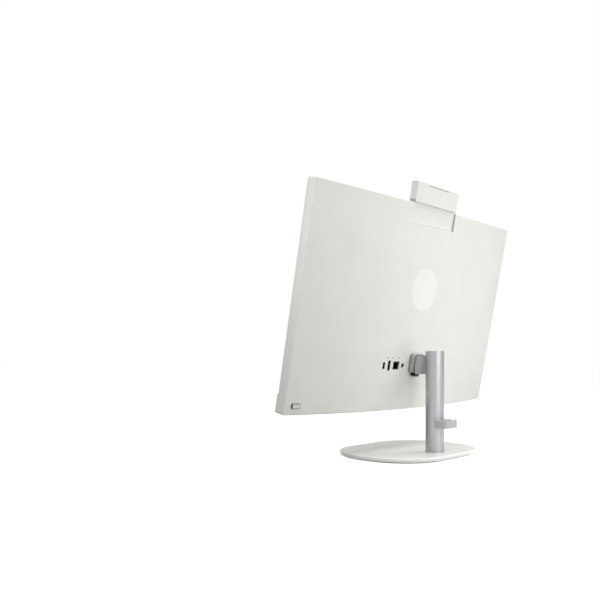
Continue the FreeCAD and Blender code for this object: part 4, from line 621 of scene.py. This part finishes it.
# %% From rings to a closed mesh
def ringed_piece(name, rings, finish, body, smooth=False):
    """Joins each ring to the next by four-cornered faces and closes both ends.

    rings has the shape (copies, stations, around, 3), in distances sideways, out of the
    back and upwards. Rings run counter-clockwise about the way the stations go, so faces
    look out.
    """
    copies, stations, around, _ = rings.shape
    first = (np.arange(copies) * stations * around)[:, None, None]
    level = first + (np.arange(stations - 1) * around)[None, :, None]
    step = np.arange(around)[None, None, :]
    here, beside = level + step, level + (step + 1) % around
    sides = np.stack([here, beside, beside + around, here + around], axis=-1).reshape(-1, 4)
    starts = first[:, 0] + np.arange(around)[::-1]
    ends = first[:, 0] + (stations - 1) * around + np.arange(around)
    mesh = bpy.data.meshes.new(name)
    mesh.from_pydata((rings.reshape(-1, 3) @ head_axes).tolist(), [],
                     sides.tolist() + starts.tolist() + ends.tolist())
    mesh.polygons.foreach_set("use_smooth", np.full(len(mesh.polygons), smooth))
    mesh.materials.append(finish)
    piece = bpy.data.objects.new(name, mesh)
    scene.collection.objects.link(piece)
    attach(piece, body)
    print(name, len(mesh.polygons), "faces,", copies, "copies")


# %% [markdown]
# ## Network jack contacts
# Eight springs of gold-plated bronze hang from the roof of the jack, 1.02 mm apart. Each
# one enters flat, dips by 0.85 mm to press on the plug, and rises again: its height is the
# roof's less the dip times the square of a sine over half a turn. A strip of constant
# section along that arch is enough, and it stays above the plug's own room.

# %% Network jack contacts
SPRING_COUNT, SPRING_PITCH = 8, 0.00102
SPRING_START, SPRING_LENGTH = 0.002, 0.008  # inwards from the jack's mouth
SPRING_ROOF, SPRING_DIP = 0.00355, 0.00085
SPRING_HALF_WIDTH, SPRING_THICKNESS = 0.00023, 0.00016

jack = Vector(mounts["ethernet_socket"]["pos_m"])
run = np.linspace(0.0, 1.0, 17)
spring_x = jack.x + (np.arange(SPRING_COUNT) - (SPRING_COUNT - 1) / 2) * SPRING_PITCH
spring_out = jack.dot(back) - SPRING_START - SPRING_LENGTH * run
spring_high = jack.dot(up) + SPRING_ROOF - SPRING_DIP * np.sin(np.pi * run) ** 2
corner_x = SPRING_HALF_WIDTH * np.array([1.0, 1.0, -1.0, -1.0])
corner_up = SPRING_THICKNESS / 2 * np.array([-1.0, 1.0, 1.0, -1.0])
contacts = np.zeros((SPRING_COUNT, run.size, corner_x.size, 3))
contacts[..., 0] = spring_x[:, None, None] + corner_x
contacts[..., 1] = spring_out[None, :, None]
contacts[..., 2] = spring_high[None, :, None] + corner_up
# Gold over drawn bronze strip: the lines run along the spring.
gold = drawn_metal("gold_plated_bronze_spring", "#D9AE62", 0.22, (1.0, 0.05, 1.0), line_mm=0.3)
ringed_piece("jack_contacts", contacts, gold, "head")

# %% [markdown]
# ## Status light and microphones of the camera
# Beside the lens a clear light pipe ends in a low dome, and a microphone listens at each
# end of the window through a disc of fine mesh. All three are domes: the ring shrinks as
# the cosine of an angle while it rises as the sine. They stand 0.1 mm proud of the window.

# %% Status light and microphones
LIGHT_PLACE, LIGHT_RADIUS = [0.0125], 0.0008
MICROPHONE_PLACES, MICROPHONE_RADIUS = [-0.019, 0.019], 0.0009
PROUD, SUNK = 0.0001, 0.0002  # how far a dome stands out of the window, and reaches into it

_, window_low, window_high = head_span("camera_window")
window_mid = (window_low + window_high) / 2
turn = np.linspace(0.0, 2 * np.pi, 24, endpoint=False)
rise = np.radians([0.0, 0.0, 20.0, 40.0, 60.0, 78.0])


def domes(places, radius):
    """Domes that look forward: radius times the cosine across, PROUD times the sine out."""
    rings = np.zeros((len(places), rise.size, turn.size, 3))
    across = radius * np.cos(rise)[None, :, None]
    rings[..., 0] = np.array(places)[:, None, None] + across * np.cos(turn)
    rings[..., 1] = (window_low[1] - PROUD * np.sin(rise))[None, :, None]
    rings[:, 0, :, 1] = window_low[1] + SUNK
    rings[..., 2] = window_mid[2] + across * np.sin(turn)
    return rings


# Clear polycarbonate with a haze that spreads the light, and etched steel blackened dull.
light_pipe = clear_acrylic("polycarbonate_light_pipe", "#DCE4E8", 0.15, 0.4)
mesh_disc = plated_sheet("blackened_steel_gauze", "#4A4B4D", 0.4, crystal_mm=0.25)
ringed_piece("camera_status_light", domes(LIGHT_PLACE, LIGHT_RADIUS), light_pipe, "camera",
             smooth=True)
ringed_piece("camera_microphones", domes(MICROPHONE_PLACES, MICROPHONE_RADIUS), mesh_disc,
             "camera", smooth=True)

# %% [markdown]
# ## Chips and capacitors on the mainboard
# A real board is covered with small soldered parts. They are drawn as rounded blocks: the
# ring is a superellipse, a circle whose sine and cosine are raised to a small power, and it
# draws in at the top. A fixed random seed picks their places in the free zones of the
# board, and a place within 5 mm of a screw is left empty.

# %% Chips and capacitors on the mainboard
FREE_ZONES = [  # left, low, right, high
    (-0.092, 0.117, -0.030, 0.133), (0.029, 0.117, 0.092, 0.133),
    (-0.040, 0.163, -0.015, 0.221), (-0.092, 0.158, -0.030, 0.171),
    (0.058, 0.227, 0.090, 0.244),
]
CELL_WIDE, CELL_TALL = 0.006, 0.0045
KEPT_SHARE, CHIP_SHARE = 0.75, 0.3
SCREW_CLEAR = 0.005
CHIP = (0.0021, 0.0015, 0.0009)  # half width, half height, thickness
CAPACITOR = (0.0010, 0.0006, 0.0006)
CORNER_POWER, TOP_DRAW_IN, SOLDERED_IN = 0.3, 0.0001, 0.00005

_, _, board_high = head_span("mainboard")
screws, _, _ = head_span("board_screws")
draw = np.random.default_rng(24)
cells = np.concatenate([
    np.stack(np.meshgrid(np.arange(left, right, CELL_WIDE), np.arange(low, high, CELL_TALL)),
             axis=-1).reshape(-1, 2)
    for left, low, right, high in FREE_ZONES])
cells = cells[draw.random(len(cells)) < KEPT_SHARE]
nearest = np.linalg.norm(cells[:, None, :] - screws[None, :, [0, 2]], axis=-1).min(axis=1)
cells = cells[nearest > SCREW_CLEAR]
is_chip = draw.random(len(cells)) < CHIP_SHARE


def blocks(places, half_wide, half_tall, thick):
    """Rounded blocks: a superellipse ring that draws in by a tenth of a millimetre on top."""
    wide = np.sign(np.sin(turn)) * abs(np.sin(turn)) ** CORNER_POWER
    tall = np.sign(np.cos(turn)) * abs(np.cos(turn)) ** CORNER_POWER
    lift = board_high[1] + np.array([-SOLDERED_IN, thick - TOP_DRAW_IN, thick])
    draw_in = np.array([0.0, 0.0, TOP_DRAW_IN])[None, :, None]
    rings = np.zeros((len(places), lift.size, turn.size, 3))
    rings[..., 0] = places[:, 0, None, None] + (half_wide - draw_in) * wide
    rings[..., 1] = lift[None, :, None]
    rings[..., 2] = places[:, 1, None, None] + (half_tall - draw_in) * tall
    return rings


# Barium titanate is fired tan, and looks like dull enamel.
ceramic = coated("fired_ceramic_capacitor", "#A58E6E", 0.4, peel_mm=0.5, relief_mm=0.004)
ringed_piece("board_chips", blocks(cells[is_chip], *CHIP), finishes["chip_epoxy"], "head")
ringed_piece("board_capacitors", blocks(cells[~is_chip], *CAPACITOR), ceramic, "head")

# %% [markdown]
# ## Floor, mat and room
# The object stands on a plain white sweep. A camera ray that meets the floor gets some
# light of the floor's own, so that it reads as white paper, while the shadow under the
# base still shows. A grey mat lies in front of the stand. Only mirrors see it: it puts a
# dark flank on the post, which makes it look round. A bright, even room gives most of the
# light.

# %% Floor, mat and room
FLOOR_REACH, MAT_LEVEL = 12.0, 0.0006
FLOOR_GLOW = 0.87  # the floor's own light, where 1 is white
ROOM_STRENGTH = 0.495  # what lights the object; the camera sees 1, which is white


def seen_by(tree, first, *others):
    """1 for a ray of any of these kinds, 0 for the rest: the largest of their outputs."""
    path = add(tree, "ShaderNodeLightPath")
    seen = path.outputs[first]
    for kind in others:
        seen = add(tree, "ShaderNodeMath", {0: seen, 1: path.outputs[kind]},
                   operation="MAXIMUM").outputs[0]
    return seen


def flat_sheet(name, low, high, level, finish):
    """A level rectangle between two corners, at a height over the desk."""
    mesh = bpy.data.meshes.new(name)
    mesh.from_pydata([(low[0], low[1], level), (high[0], low[1], level),
                      (high[0], high[1], level), (low[0], high[1], level)], [], [(0, 1, 2, 3)])
    mesh.materials.append(finish)
    made = bpy.data.objects.new(name, mesh)
    scene.collection.objects.link(made)
    return made


# White paper: diffuse, with a glow for the camera, mirrors and clear parts.
paper, tree, _ = start("white_paper_sweep")
glow = add(tree, "ShaderNodeMath", {
    0: seen_by(tree, "Is Camera Ray", "Is Glossy Ray", "Is Transmission Ray"), 1: FLOOR_GLOW},
    operation="MULTIPLY")
matt = add(tree, "ShaderNodeBsdfDiffuse", {"Color": linear("#8C8C8C")})
light = add(tree, "ShaderNodeEmission", {"Color": linear("#FFFFFF"), "Strength": glow.outputs[0]})
close(tree, add(tree, "ShaderNodeAddShader", {0: matt.outputs[0], 1: light.outputs[0]}))
floor = flat_sheet("paper_floor", (-FLOOR_REACH, -FLOOR_REACH), (FLOOR_REACH, FLOOR_REACH), 0.0,
                   paper)

# Pressed felt is fully matt and throws no highlight.
felt, tree, _ = start("grey_felt_mat")
close(tree, add(tree, "ShaderNodeBsdfDiffuse", {"Color": linear("#686868")}))
grey_mat = flat_sheet("grey_mat", (-0.6, -0.9), (0.9, -0.1), MAT_LEVEL, felt)
grey_mat.visible_camera = False
grey_mat.visible_diffuse = False
grey_mat.visible_shadow = False

world = bpy.data.worlds.new("soft_room")
world.use_nodes = True
scene.world = world
room = world.node_tree
room.nodes.clear()
strength = add(room, "ShaderNodeMix", {
    0: seen_by(room, "Is Camera Ray", "Is Transmission Ray"), 2: ROOM_STRENGTH, 3: 1.0},
    data_type="FLOAT")
sky = add(room, "ShaderNodeBackground", {
    "Color": linear("#FFFFFF"), "Strength": strength.outputs[0]})
add(room, "ShaderNodeOutputWorld", {"Surface": sky.outputs[0]})
print("stage:", floor.name, "and", grey_mat.name, "in", world.name)

# %% [markdown]
# ## Lamps
# Seven soft boxes shape what the even room leaves flat. Three small ones behind the object
# graze the bowed cover, and two of them draw the bright streak on the post. One high at the
# side lights the side wall and the arm, and a small one close to the wall brightens its
# upper half. The far and front ones fill the shadows. Those two and the lowest of the
# small ones are kept out of mirrors, because a lamp's picture in the post would be a
# second streak.

# %% Lamps
MIDDLE = (0.0, 0.0, 0.0)
SOFT_BOXES = [  # name, place and aim from the object's middle, width, watts, in mirrors
    ("near_box", (-0.05, 0.45, 0.15), MIDDLE, 0.25, 0.53, True),
    ("low_box", (-0.25, 0.35, -0.12), MIDDLE, 0.2, 0.29, False),
    ("back_box", (0.15, 0.7, 0.05), MIDDLE, 0.4, 0.88, True),
    ("side_box", (0.83, 0.21, 0.83), MIDDLE, 0.5, 5.4, True),
    ("edge_box", (0.42, 0.01, 0.1), (0.27, 0.02, 0.08), 0.12, 0.051, True),
    ("far_box", (-0.9, 0.4, 0.9), MIDDLE, 0.7, 11.8, False),
    ("front_box", (-0.6, -1.8, 1.0), MIDDLE, 1.4, 6.0, False),
]
middle = (Vector(cad_low) + Vector(cad_high)) / 2
for name, place, aim, width, watts, in_mirrors in SOFT_BOXES:
    lamp = bpy.data.lights.new(name, "AREA")
    lamp.shape = "SQUARE"
    lamp.size = width
    lamp.energy = watts
    box = bpy.data.objects.new(name, lamp)
    box.location = middle + Vector(place)
    box.visible_camera = False
    box.visible_glossy = in_mirrors
    look = (middle + Vector(aim)) - (middle + Vector(place))
    box.rotation_euler = look.to_track_quat("-Z", "Y").to_euler()
    scene.collection.objects.link(box)
    print(name, "stands", round(look.length, 2), "m from what it is aimed at")

# %% [markdown]
# ## Finish
# The picture is shown with the Standard view transform.

# %% Finish
scene.view_settings.view_transform = "Standard"
